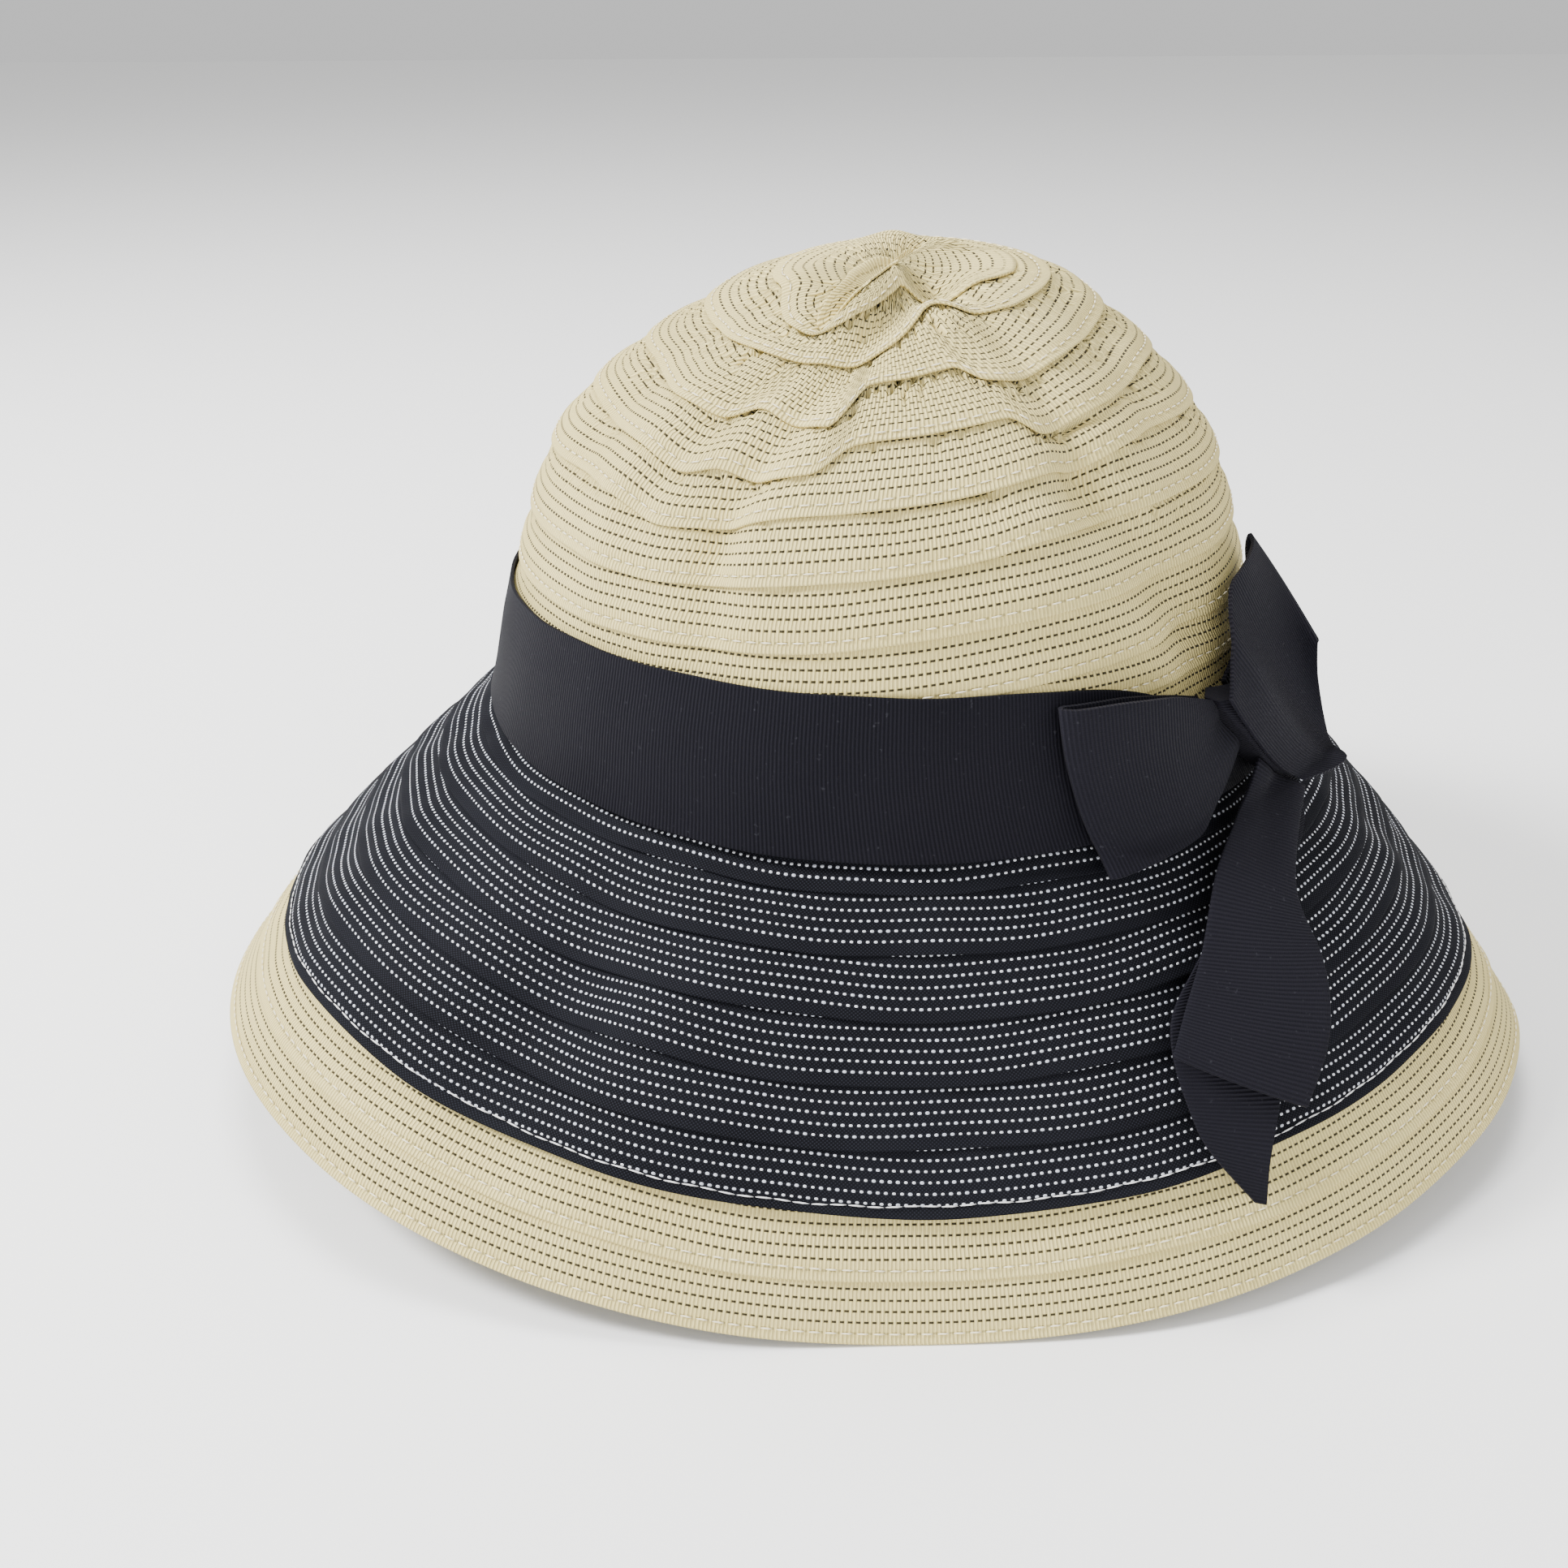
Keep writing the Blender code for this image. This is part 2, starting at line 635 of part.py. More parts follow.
def build_bow():
    """Knot, two loops and two tails."""
    build_knot()
    bow_strip("bow_loop_front", FRONT_LOOP, FRONT_LOOP_REACH, RIBBON_WIDTH, 0.0, -1.0)
    bow_strip("bow_loop_back", BACK_LOOP, BACK_LOOP_REACH, RIBBON_WIDTH, KNOT_WIDTH, 1.0)
    bow_strip("bow_tail_upper", UPPER_TAIL, UPPER_TAIL_REACH, UPPER_TAIL_REACH, 0.0, -1.0)
    bow_strip("bow_tail_under", UNDER_TAIL, UNDER_TAIL_REACH, UNDER_TAIL_REACH, 0.0, -1.0)


def main():
    """Clear the scene and build the hat."""
    for old in list(bpy.data.objects):
        bpy.data.objects.remove(old, do_unlink=True)
    build_crown()
    build_brim()
    build_brim_edge()
    build_band()
    build_bow()


main()
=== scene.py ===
import math

import bmesh
import bpy
import numpy as np
from bpy.props import FloatProperty, FloatVectorProperty, IntProperty, PointerProperty
from mathutils import Matrix, Vector


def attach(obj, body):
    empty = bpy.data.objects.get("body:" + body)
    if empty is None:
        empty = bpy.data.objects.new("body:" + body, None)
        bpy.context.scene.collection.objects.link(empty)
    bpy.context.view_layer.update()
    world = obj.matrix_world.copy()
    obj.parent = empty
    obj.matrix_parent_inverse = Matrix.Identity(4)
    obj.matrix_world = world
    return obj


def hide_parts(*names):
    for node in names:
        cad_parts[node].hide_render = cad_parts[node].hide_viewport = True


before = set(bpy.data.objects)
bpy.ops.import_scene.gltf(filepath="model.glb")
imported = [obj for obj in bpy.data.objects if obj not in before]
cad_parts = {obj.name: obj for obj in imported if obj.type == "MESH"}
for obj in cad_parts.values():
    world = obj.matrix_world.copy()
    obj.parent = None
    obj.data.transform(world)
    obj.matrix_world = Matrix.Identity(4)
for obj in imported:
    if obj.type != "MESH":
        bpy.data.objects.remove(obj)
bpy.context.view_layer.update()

bl_info = {
    "name": "Ribbon Sun Hat",
    "version": (1, 0, 0),
    "blender": (4, 5, 0),
    "location": "View3D > Sidebar > Hat",
    "description": "Dresses a sun hat sewn from rounds of ribbon, with its band and bow",
    "category": "Object",
}

MM = 0.001

# Sizes of the hat, the same as its solids have
HEAD_HALF_WIDTH = 94.0 * MM
HEAD_HALF_LENGTH = 99.6 * MM
CROWN_HEIGHT = 104.0 * MM
CROWN_WALL = 1.2 * MM
BRIM_WIDTH = 92.5 * MM
EDGE_WIDTH = 25.0 * MM
BRIM_WALL = 1.2 * MM
EDGE_WALL = 1.4 * MM
BRIM_STEEPEST = math.radians(57.5)
BRIM_CURL = math.radians(14.7)
ROUND_WIDTH = 12.4 * MM
RIBBON_WIDTH = 38.0 * MM
RIBBON_THICK = 1.0 * MM
LAP_STEP = 0.6 * MM
GAP = 0.3 * MM
ROOT_GAP = 0.6 * MM
COLLAR = 6.0 * MM
BAND_FOOT = 0.6 * MM
BOW_ANGLE = 317.9
KNOT_WIDTH = 10.5 * MM
KNOT_SLANT = 16.5 * MM
KNOT_ROUNDING = 2.5 * MM
FRONT_LOOP_REACH = 47.0 * MM
BACK_LOOP_REACH = 42.0 * MM
UPPER_TAIL_REACH = 61.5 * MM
UNDER_TAIL_REACH = 75.0 * MM
NORMAL_BLEND = 8.0 * MM
BOW_TURN = 40.0 * MM
BOW_TURN_STARTS = -10.0 * MM
KNOT_TOP = -0.76
KNOT_FOOT = 0.04
SEAM_OFF = 0.245

# Sewing: how far a round runs on under the next one, how it is lifted over it, how its stitches
# draw it in, and how thick the sheets are
OVERLAP = 4.4 * MM
LIFT_FADE = 3.2 * MM
EDGE_LIFT_SHARE = 0.8
STITCH_ROW = 2.05 * MM
STITCH_SPREAD = 0.6 * MM
STITCH_DIP = 0.28 * MM
SHEET_THICK = 0.5 * MM
BAND_THICK = 0.8 * MM
BOW_THICK = 0.85 * MM
RIBBON_BEVEL = 0.2 * MM

# The crown's spiral: how far above the head line it ends, how many turns it goes on there, and its
# narrowest visible part as a share of the way from the tip to the head line
CROWN_FOOT = 2.5 * MM
LAST_TURNS = 0.65
LEAST_EXPOSED = 0.004

# The brim's uppermost round starts at least this far down
LEAST_ROUND = 2.0 * MM

# Rows of a round from its lower edge up, as shares of its visible part. The crown's rounds have two
# more under the round above, as shares of the overlap.
ROW_SHARES = np.array([0.0, 0.03, 0.09, 0.165, 0.24, 0.40, 0.58, 0.76, 0.90, 1.0])
MIDDLE_ROW = len(ROW_SHARES) // 2
CROWN_ROWS = np.append(ROW_SHARES, (1.0, 1.0))
CROWN_UNDER_ROWS = np.append(np.zeros(len(ROW_SHARES)), (0.5, 1.0))
BAND_ROWS = np.array([0.0, 0.02, 0.06, 0.15, 0.30, 0.50, 0.70, 0.85, 0.94, 0.98, 1.0])

# Waves round the hat: height, how many there are in a turn, where they start, and how far the start
# moves from one round, or one edge of the band, to the next
GATHER_SWAY = ((2.6, 3.0, 0.0, 1.7), (1.8, 7.0, 0.0, 1.0))
GATHER_BROAD = ((0.5, 5.0, 0.8, 2.3),)
GATHER_UNEVEN = ((0.35, 11.0, 0.0, 5.0),)
ROUND_SWAY = ((0.32 * MM, 7.0, 0.0, 2.1), (0.224 * MM, 17.0, 0.0, 4.0))
ROUND_RIPPLE = ((0.16 * MM, 23.0, 0.0, 3.0), (0.096 * MM, 41.0, 0.0, 5.0))
BAND_RIPPLE = ((0.072 * MM, 9.0, 0.0, 2.0), (0.072 * MM, 23.0, 1.3, -3.0))
BAND_EDGE = ((0.10 * MM, 6.0, 0.0, 0.0), (0.10 * MM, 17.0, 2.0, 0.0))

# Gathers: how many there are in a turn at the tip, how many more at the head line, how narrow they
# are, where on the way from the tip they fade and how much of them, and where on a round they begin
GATHER_COUNT = 16.0
GATHER_COUNT_RISE = 84.0
GATHER_SHARPNESS = 3
GATHER_FADE_FROM = 0.30
GATHER_FADE_OVER = 0.40
GATHER_FADE = 0.85
GATHER_STARTS = 0.35
GATHER_GROWS = 0.6
TIP_SMOOTH = 0.12

# The band: how far it is sunk and swells, how much narrower it lies, and how the bow draws it in
BAND_SINK = 0.10 * MM
BAND_BELLY = 0.15 * MM
BAND_NARROWER = 0.035
BAND_DRAWN = 0.33
BAND_DRAWN_AT = BOW_ANGLE + 4.0
BAND_DRAWN_SPREAD = 16.0

# Pleats of the bow: depth, and how many stations from the knot they fade over
LOOP_PLEAT = 0.7 * MM
LOOP_PLEAT_FADE = 1.3
TAIL_PLEAT = 0.5 * MM
TAIL_PLEAT_FADE = 2.5
PLEATS = 3.0
PLEAT_START = 0.6

# Stitches: angles along a seam, length as a share of the pitch, and how proud they stand
STITCH_TRACK = np.arange(0.0, 360.01, 0.25)
CROWN_STITCH_FROM = 1.2
CROWN_STITCH_SHORT = 0.6
CROWN_STITCH_STEP = 1.0 / 720.0
CROWN_STITCH_LENGTH = 0.8
EDGE_STITCH_LENGTH = 0.86
WHITE_STITCH_LENGTH = 1.06
WHITE_STITCH_PITCH = 1.15
WHITE_STITCH_ROW = 2.2 * MM
WHITE_STITCH_SWAY = ((0.12 * MM, 61.0, 0.0, 0.0),)
STITCH_PROUD = 0.12

# Fineness of the nets, and the smallest lengths and areas that count
TRACK_STEPS = 96
SURFACE_ANGLES = 360
SURFACE_STEP = 1.0 * MM
STEADY_ROWS = 3
COLUMNS = 320
RING_COLUMNS = 360
BAND_COLUMNS = 360
BOW_ACROSS = 16
KNOT_CUTS = 11
WELD = 0.002 * MM
NO_AREA = 1e-12
INSIDE_LAST_ROW = 1.0001

# Crown sections from the head line to the tip: height as a share of CROWN_HEIGHT; the reach to
# the sides as a share of HEAD_HALF_WIDTH, to the front and back as shares of HEAD_HALF_LENGTH;
# leans as shares of HEAD_HALF_WIDTH
CROWN_COLUMNS = ("height", "side", "front", "back", "lean_right", "lean_front")
CROWN_SECTIONS = (
    (0.000, 1.000, 1.000, 1.000, 0.000, 0.000),
    (0.046, 0.974, 0.974, 0.992, -0.008, 0.028),
    (0.112, 0.942, 0.942, 0.980, -0.019, 0.066),
    (0.255, 0.889, 0.889, 0.955, -0.033, 0.130),
    (0.428, 0.838, 0.844, 0.915, -0.033, 0.165),
    (0.622, 0.760, 0.768, 0.815, -0.028, 0.172),
    (0.754, 0.640, 0.655, 0.675, -0.012, 0.190),
    (0.880, 0.460, 0.490, 0.475, 0.012, 0.212),
    (0.962, 0.296, 0.345, 0.300, 0.026, 0.205),
    (1.000, 0.000, 0.000, 0.000, 0.030, 0.165),
)

# Creases and ridges of the crown: ends as angle and reach, where reach is the share of the way
# from the tip to the head line; width and depth as shares of ROUND_WIDTH, depth inwards
CREASE_COLUMNS = ("from_angle", "from_reach", "to_angle", "to_reach", "width", "depth")
CROWN_CREASES = (
    (279.0, 0.17, 241.0, 0.62, 0.45, 0.24),
    (281.0, 0.17, 303.0, 0.54, 0.45, 0.20),
    (240.0, 0.36, 226.0, 0.58, 0.45, 0.14),
    (268.0, 0.36, 276.0, 0.50, 1.60, 0.22),
    (330.0, 0.30, 322.0, 0.60, 0.70, 0.12),
    (200.0, 0.30, 205.0, 0.55, 0.60, 0.12),
    (303.0, 0.54, 318.0, 0.72, 0.95, 0.32),
    (238.0, 0.58, 242.0, 0.69, 0.75, 0.24),
    (221.0, 0.45, 222.0, 0.66, 0.80, -0.14),
    (238.0, 0.29, 50.0, 0.05, 0.20, 0.22),
    (247.0, 0.27, 335.0, 0.06, 0.30, -0.16),
    (215.0, 0.22, 110.0, 0.05, 0.40, -0.16),
)

# The rounds wind about a swirl in front of the tip: where it lies and how far its shift reaches,
# as shares of the way from the tip to the head line
SWIRL_RIGHT = -0.053
SWIRL_BACK = -0.135
SWIRL_SPAN = 0.5

# Lower edges of the crown's rounds: how far each lies from the swirl, as shares of the way from
# the tip to the head line. Each round goes on into the one above it where its turn ends.
LAP_COLUMNS = ("angle", "lap0", "lap1", "lap2", "lap3", "lap4", "lap5", "lap6", "lap7", "lap8")
CROWN_LAPS = (
    (0.0, 0.190, 0.230, 0.300, 0.378, 0.462, 0.545, 0.625, 0.705, 0.785),
    (33.0, 0.197, 0.230, 0.300, 0.380, 0.462, 0.545, 0.625, 0.705, 0.785),
    (46.0, 0.130, 0.225, 0.300, 0.380, 0.462, 0.545, 0.625, 0.705, 0.785),
    (60.0, 0.160, 0.220, 0.300, 0.381, 0.463, 0.545, 0.625, 0.705, 0.785),
    (80.0, 0.080, 0.200, 0.296, 0.383, 0.465, 0.547, 0.628, 0.707, 0.786),
    (140.0, 0.050, 0.170, 0.275, 0.370, 0.467, 0.560, 0.643, 0.718, 0.795),
    (190.0, 0.065, 0.155, 0.262, 0.370, 0.475, 0.568, 0.657, 0.733, 0.808),
    (208.0, 0.090, 0.183, 0.276, 0.398, 0.494, 0.566, 0.660, 0.736, 0.810),
    (221.0, 0.135, 0.208, 0.284, 0.432, 0.512, 0.580, 0.664, 0.738, 0.812),
    (231.0, 0.185, 0.216, 0.290, 0.442, 0.530, 0.600, 0.667, 0.736, 0.811),
    (238.0, 0.110, 0.203, 0.287, 0.417, 0.518, 0.592, 0.662, 0.735, 0.808),
    (245.0, 0.060, 0.183, 0.280, 0.432, 0.524, 0.582, 0.657, 0.732, 0.804),
    (254.0, 0.040, 0.140, 0.267, 0.442, 0.514, 0.567, 0.647, 0.726, 0.799),
    (260.0, 0.030, 0.114, 0.247, 0.344, 0.470, 0.560, 0.640, 0.720, 0.795),
    (268.0, 0.025, 0.090, 0.222, 0.326, 0.452, 0.548, 0.631, 0.708, 0.787),
    (284.0, 0.020, 0.065, 0.161, 0.309, 0.431, 0.525, 0.605, 0.686, 0.766),
    (290.0, 0.020, 0.060, 0.145, 0.349, 0.426, 0.515, 0.592, 0.679, 0.758),
    (296.0, 0.020, 0.060, 0.140, 0.357, 0.452, 0.505, 0.583, 0.672, 0.752),
    (304.0, 0.020, 0.065, 0.162, 0.346, 0.436, 0.498, 0.573, 0.664, 0.744),
    (314.0, 0.020, 0.085, 0.195, 0.334, 0.420, 0.481, 0.564, 0.655, 0.735),
    (325.0, 0.020, 0.120, 0.227, 0.320, 0.402, 0.465, 0.558, 0.645, 0.726),
    (345.0, 0.020, 0.170, 0.228, 0.304, 0.379, 0.465, 0.548, 0.632, 0.712),
    (360.0, 0.015, 0.190, 0.230, 0.300, 0.378, 0.462, 0.545, 0.625, 0.705),
)

# How far the rim stands off the ground round the hat, as a share of BRIM_WIDTH
LIFT_COLUMNS = ("angle", "lift")
RIM_LIFTS = (
    (0.0, 0.075),
    (30.0, 0.000),
    (60.0, 0.105),
    (90.0, 0.150),
    (120.0, 0.070),
    (150.0, 0.000),
    (180.0, 0.150),
    (210.0, 0.225),
    (240.0, 0.105),
    (270.0, 0.000),
    (300.0, 0.057),
    (330.0, 0.140),
)

# Soft folds that run down the brim: depth outwards as a share of BRIM_WIDTH
FOLD_COLUMNS = ("angle", "spread", "depth")
BRIM_FOLDS = (
    (228.0, 9.0, 0.022),
    (247.0, 7.0, -0.016),
    (341.0, 8.0, 0.018),
    (318.0, 7.0, -0.014),
    (75.0, 10.0, 0.020),
    (128.0, 8.0, -0.016),
)

# Bends of the brim that are deepest part of the way down: depth outwards and the middle of the
# bend down the brim as shares of BRIM_WIDTH
BEND_COLUMNS = ("angle", "spread", "depth", "middle")
BRIM_BENDS = (
    (234.0, 6.5, -0.070, 0.42),
    (247.0, 7.0, 0.036, 0.45),
    (210.0, 12.0, 0.050, 0.50),
    (276.0, 7.0, -0.012, 0.55),
    (344.0, 7.0, -0.022, 0.45),
)
BEND_REACH = 0.36

# Sections across the bow's ribbons, one selvage and then the other. "Out" is the way from the
# knot as a share of the loop's or tail's reach; down is a share of RIBBON_WIDTH in the loops and
# of the reach in the tails; off is the stand-off from the band as a share of RIBBON_WIDTH.
BOW_COLUMNS = ("first_out", "first_down", "first_off", "other_out", "other_down", "other_off")
FRONT_LOOP = (
    (0.00, -0.76, 0.110, 0.00, -0.37, 0.110),
    (0.12, -0.84, 0.145, 0.38, -0.11, 0.121),
    (0.30, -0.91, 0.163, 0.65, 0.08, 0.132),
    (0.54, -0.93, 0.145, 0.88, 0.13, 0.132),
    (0.75, -0.92, 0.110, 1.07, 0.17, 0.116),
    (0.80, -0.92, 0.074, 1.11, 0.18, 0.079),
    (0.75, -0.91, 0.032, 1.07, 0.16, 0.036),
    (0.48, -0.90, 0.030, 0.80, 0.08, 0.034),
    (0.20, -0.84, 0.030, 0.45, -0.05, 0.032),
    (0.00, -0.76, 0.030, 0.00, -0.37, 0.032),
)
BACK_LOOP = (
    (-0.25, -0.80, SEAM_OFF, -0.25, 0.06, SEAM_OFF),
    (0.00, -1.05, 0.250, 0.00, 0.16, 0.300),
    (0.37, -1.36, 0.110, 0.20, -0.22, 0.345),
    (0.95, -1.44, 0.070, 0.55, -0.90, 0.395),
    (1.02, -1.46, 0.048, 0.61, -0.93, 0.350),
    (0.93, -1.38, 0.025, 0.55, -0.80, 0.300),
    (0.55, -1.10, 0.035, 0.41, -0.20, 0.170),
    (0.25, -0.90, 0.032, 0.20, -0.08, 0.080),
    (0.00, -0.76, 0.030, 0.00, -0.05, 0.050),
)
UPPER_TAIL = (
    (0.000, -0.180, 0.180, 0.000, 0.090, 0.180),
    (0.272, -0.016, 0.185, 0.203, 0.195, 0.172),
    (0.553, 0.171, 0.164, 0.454, 0.407, 0.158),
    (0.827, 0.439, 0.142, 0.574, 0.618, 0.158),
    (0.966, 0.569, 0.137, 0.725, 0.813, 0.145),
    (1.104, 0.707, 0.158, 0.939, 1.000, 0.118),
)
UNDER_TAIL = (
    (0.107, 0.032, 0.100, -0.090, 0.032, 0.100),
    (0.300, 0.120, 0.070, 0.057, 0.160, 0.080),
    (0.597, 0.320, 0.063, 0.341, 0.313, 0.068),
    (0.842, 0.507, 0.063, 0.590, 0.560, 0.063),
    (0.934, 0.693, 0.063, 0.783, 0.773, 0.063),
    (0.976, 0.840, 0.063, 0.912, 0.920, 0.063),
    (0.987, 0.993, 0.063, 0.976, 1.007, 0.063),
)


# Curves

def smooth_rise(x):
    """Ease from 0 to 1."""
    x = np.clip(x, 0.0, 1.0)
    return x * x * (3.0 - 2.0 * x)


def curve(places, values, x):
    """Smooth curve through the values that never overshoots between two of them."""
    places = np.asarray(places, float)
    values = np.asarray(values, float)
    x = np.clip(np.asarray(x, float), places[0], places[-1])
    widths = np.diff(places)
    steps = np.diff(values) / widths
    tangents = np.concatenate(([steps[0]], np.zeros(len(steps) - 1), [steps[-1]]))
    before, after = steps[:-1], steps[1:]
    same = before * after > 0.0
    total = np.where(same, before + after, 1.0)
    tangents[1:-1] = np.where(same, 2.0 * before * after / total, 0.0)
    k = np.clip(np.searchsorted(places, x, side="right") - 1, 0, len(steps) - 1)
    t = (x - places[k]) / widths[k]
    ahead = t * t * (3.0 - 2.0 * t)
    bend = widths[k] * t * (1.0 - t) * ((1.0 - t) * tangents[k] - t * tangents[k + 1])
    return values[k] * (1.0 - ahead) + values[k + 1] * ahead + bend


def column_of(table, names, name):
    """One named column of a table."""
    place = names.index(name)
    return [row[place] for row in table]


def round_curve(table, names, angle):
    """Smooth curve round the hat from a table of angles and values."""
    angles, values = (np.array(column_of(table, names, name)) for name in names)
    turns = np.concatenate((angles - 360.0, angles, angles + 360.0))
    return curve(turns, np.tile(values, 3), np.mod(angle, 360.0))


def turn_angles(columns):
    """Angles of the columns of a net that goes once round the hat."""
    return np.arange(columns + 1) * 360.0 / columns


def turn_between(angle, other):
    """Degrees from another angle, the shorter way round."""
    return (angle - other + 180.0) % 360.0 - 180.0


def waves(swing, rows, step=0.0):
    """Sum of waves round the hat, from rows of height, number, start and shift of the start."""
    return sum(height * np.sin(swing * number + start + shift * step)
               for height, number, start, shift in rows)


def run_along(places):
    """Distance of each place in a row from the first, along the row."""
    steps = np.linalg.norm(np.diff(places, axis=0), axis=-1)
    return np.concatenate(([0.0], np.cumsum(steps)))


def outward(angle):
    """Level directions away from the hat's axis."""
    turned = np.radians(angle)
    return np.stack((np.cos(turned), np.sin(turned), np.zeros_like(turned)), -1)


def unit(vectors):
    """The same directions with a length of one."""
    return vectors / np.linalg.norm(vectors, axis=-1, keepdims=True)


def turn_of(length):
    """Degrees round the head line that a length takes up."""
    return np.degrees(length / HEAD_HALF_WIDTH)


# Depths of the cloth's layers under the crown's outer surface

CHORD_SHARE = math.sin(BRIM_CURL / 2.0) / (BRIM_CURL / 2.0)
BRIM_DEPTH = CROWN_WALL + GAP
EDGE_DEPTH = BRIM_DEPTH + BRIM_WALL + GAP
BAND_OFF = LAP_STEP + GAP + RIBBON_THICK
EDGE_TOP = BRIM_WIDTH - EDGE_WIDTH
BRIM_DROP = BRIM_WIDTH * CHORD_SHARE * math.sin(BRIM_STEEPEST)
HEAD_LINE_HEIGHT = BRIM_DROP + (EDGE_DEPTH + EDGE_WALL) * math.cos(BRIM_STEEPEST + BRIM_CURL / 2.0)


class HatCloth:
    """The hat's smooth outer surface as a fine net of places and outward directions.

    A place on it is an angle round the hat and a distance down the cloth from the head line,
    which is positive down the brim and negative up the crown.
    """

    def __init__(self):
        self.angles = turn_angles(SURFACE_ANGLES)
        tracks, lengths = self.crown_tracks()
        self.length = lengths[:-1].mean()
        self.tip_rows = int(math.ceil(self.length / SURFACE_STEP))
        self.crown_step = self.length / self.tip_rows
        self.brim_rows = int(math.ceil(BRIM_WIDTH / SURFACE_STEP)) + 2
        crown_down = -self.length + np.arange(self.tip_rows + 1) * self.crown_step
        brim_down = np.arange(self.brim_rows + 1) * SURFACE_STEP
        share = -crown_down / self.length * TRACK_STEPS
        low = np.minimum(share.astype(int), TRACK_STEPS - 1)
        part = (share - low)[None, :, None]
        crown = tracks[:, low] * (1.0 - part) + tracks[:, low + 1] * part
        brim = self.brim_places(brim_down)
        crown_out = self.outwards(crown)
        brim_out = self.outwards(brim)
        crown_turn = smooth_rise(0.5 + crown_down / (2.0 * NORMAL_BLEND))[None, :, None]
        brim_turn = smooth_rise(0.5 + brim_down / (2.0 * NORMAL_BLEND))[None, :, None]
        crown_steady = crown_out.copy()
        crown_steady[:, -STEADY_ROWS:] = crown_out[:, -STEADY_ROWS - 1:-STEADY_ROWS]
        brim_steady = brim_out.copy()
        brim_steady[:, :STEADY_ROWS] = brim_out[:, STEADY_ROWS:STEADY_ROWS + 1]
        crown_mixed = unit(crown_steady * (1.0 - crown_turn) + brim_steady[:, :1] * crown_turn)
        brim_mixed = unit(brim_steady * brim_turn + crown_steady[:, -1:] * (1.0 - brim_turn))
        crown = crown - self.crease_depth(crown_down)[..., None] * crown_mixed
        brim = brim + self.fold_height(brim_down)[..., None] * brim_mixed
        rim = self.brim_places(np.array([BRIM_WIDTH]))[:, 0]
        self.centre = np.append((rim[:, :2].min(0) + rim[:, :2].max(0)) / 2.0, 0.0)
        self.crown = crown - self.centre
        self.brim = brim - self.centre
        self.crown_out = crown_mixed
        self.brim_out = brim_mixed

    def crown_tracks(self):
        """Places evenly spaced along the cloth from the head line to the tip, at every angle."""
        stations = np.arange(len(CROWN_SECTIONS)) / (len(CROWN_SECTIONS) - 1)
        places = np.arange(TRACK_STEPS + 1) / TRACK_STEPS
        height, side, front, back, lean_right, lean_front = (
            curve(stations, column_of(CROWN_SECTIONS, CROWN_COLUMNS, name), places)
            for name in CROWN_COLUMNS)
        way = outward(self.angles)
        reach = np.where(way[:, 1:2] > 0.0, back[None], front[None])
        points = np.stack((
            HEAD_HALF_WIDTH * (side[None] * way[:, :1] + lean_right[None]),
            HEAD_HALF_LENGTH * reach * way[:, 1:2] - HEAD_HALF_WIDTH * lean_front[None],
            np.broadcast_to(HEAD_LINE_HEIGHT + CROWN_HEIGHT * height, reach.shape)), -1)
        pieces = np.linalg.norm(np.diff(points, axis=1), axis=-1)
        lengths = np.concatenate((np.zeros((len(pieces), 1)), np.cumsum(pieces, axis=1)), 1)
        even = np.empty_like(points)
        for k, run in enumerate(lengths):
            wanted = np.linspace(0.0, run[-1], TRACK_STEPS + 1)
            for axis in range(3):
                even[k, :, axis] = np.interp(wanted, run, points[k, :, axis])
        return even, lengths[:, -1]

    def brim_places(self, down):
        """Brim without folds: each section is an arc that starts at the head line."""
        angle = self.angles[:, None]
        lift = BRIM_WIDTH * round_curve(RIM_LIFTS, LIFT_COLUMNS, angle)
        start = np.arcsin((BRIM_DROP - lift) / (BRIM_WIDTH * CHORD_SHARE)) - BRIM_CURL / 2.0
        here = start + BRIM_CURL * down[None] / BRIM_WIDTH
        radius = BRIM_WIDTH / BRIM_CURL
        way = outward(self.angles)[:, None, :]
        points = way * (radius * (np.sin(here) - np.sin(start)))[..., None]
        points[..., 0] += HEAD_HALF_WIDTH * way[..., 0]
        points[..., 1] += HEAD_HALF_LENGTH * way[..., 1]
        points[..., 2] += HEAD_LINE_HEIGHT - radius * (np.cos(start) - np.cos(here))
        return points

    def outwards(self, places):
        """Outward directions of a net whose first axis runs round the hat and second down it."""
        ring = places[:-1]
        across = np.roll(ring, -1, axis=0) - np.roll(ring, 1, axis=0)
        along = np.gradient(ring, axis=1)
        out = np.cross(along, across)
        weak = np.linalg.norm(out, axis=-1) < NO_AREA
        out[weak] = (0.0, 0.0, 1.0)
        out = unit(out)
        return np.concatenate((out, out[:1]))

    def crease_depth(self, down):
        """How far the crown is pushed in by its creases."""
        here = outward(self.angles)[:, None, :] * (1.0 + down[None, :, None] / self.length)
        depth = np.zeros(here.shape[:2])
        for values in CROWN_CREASES:
            row = dict(zip(CREASE_COLUMNS, values))
            start = outward(row["from_angle"]) * row["from_reach"]
            line = outward(row["to_angle"]) * row["to_reach"] - start
            t = np.clip((here - start) @ line / (line @ line), 0.0, 1.0)
            away = np.linalg.norm(here - start - line * t[..., None], axis=-1)
            away *= self.length / (row["width"] * ROUND_WIDTH)
            depth += row["depth"] * ROUND_WIDTH * np.exp(-away * away)
        return depth

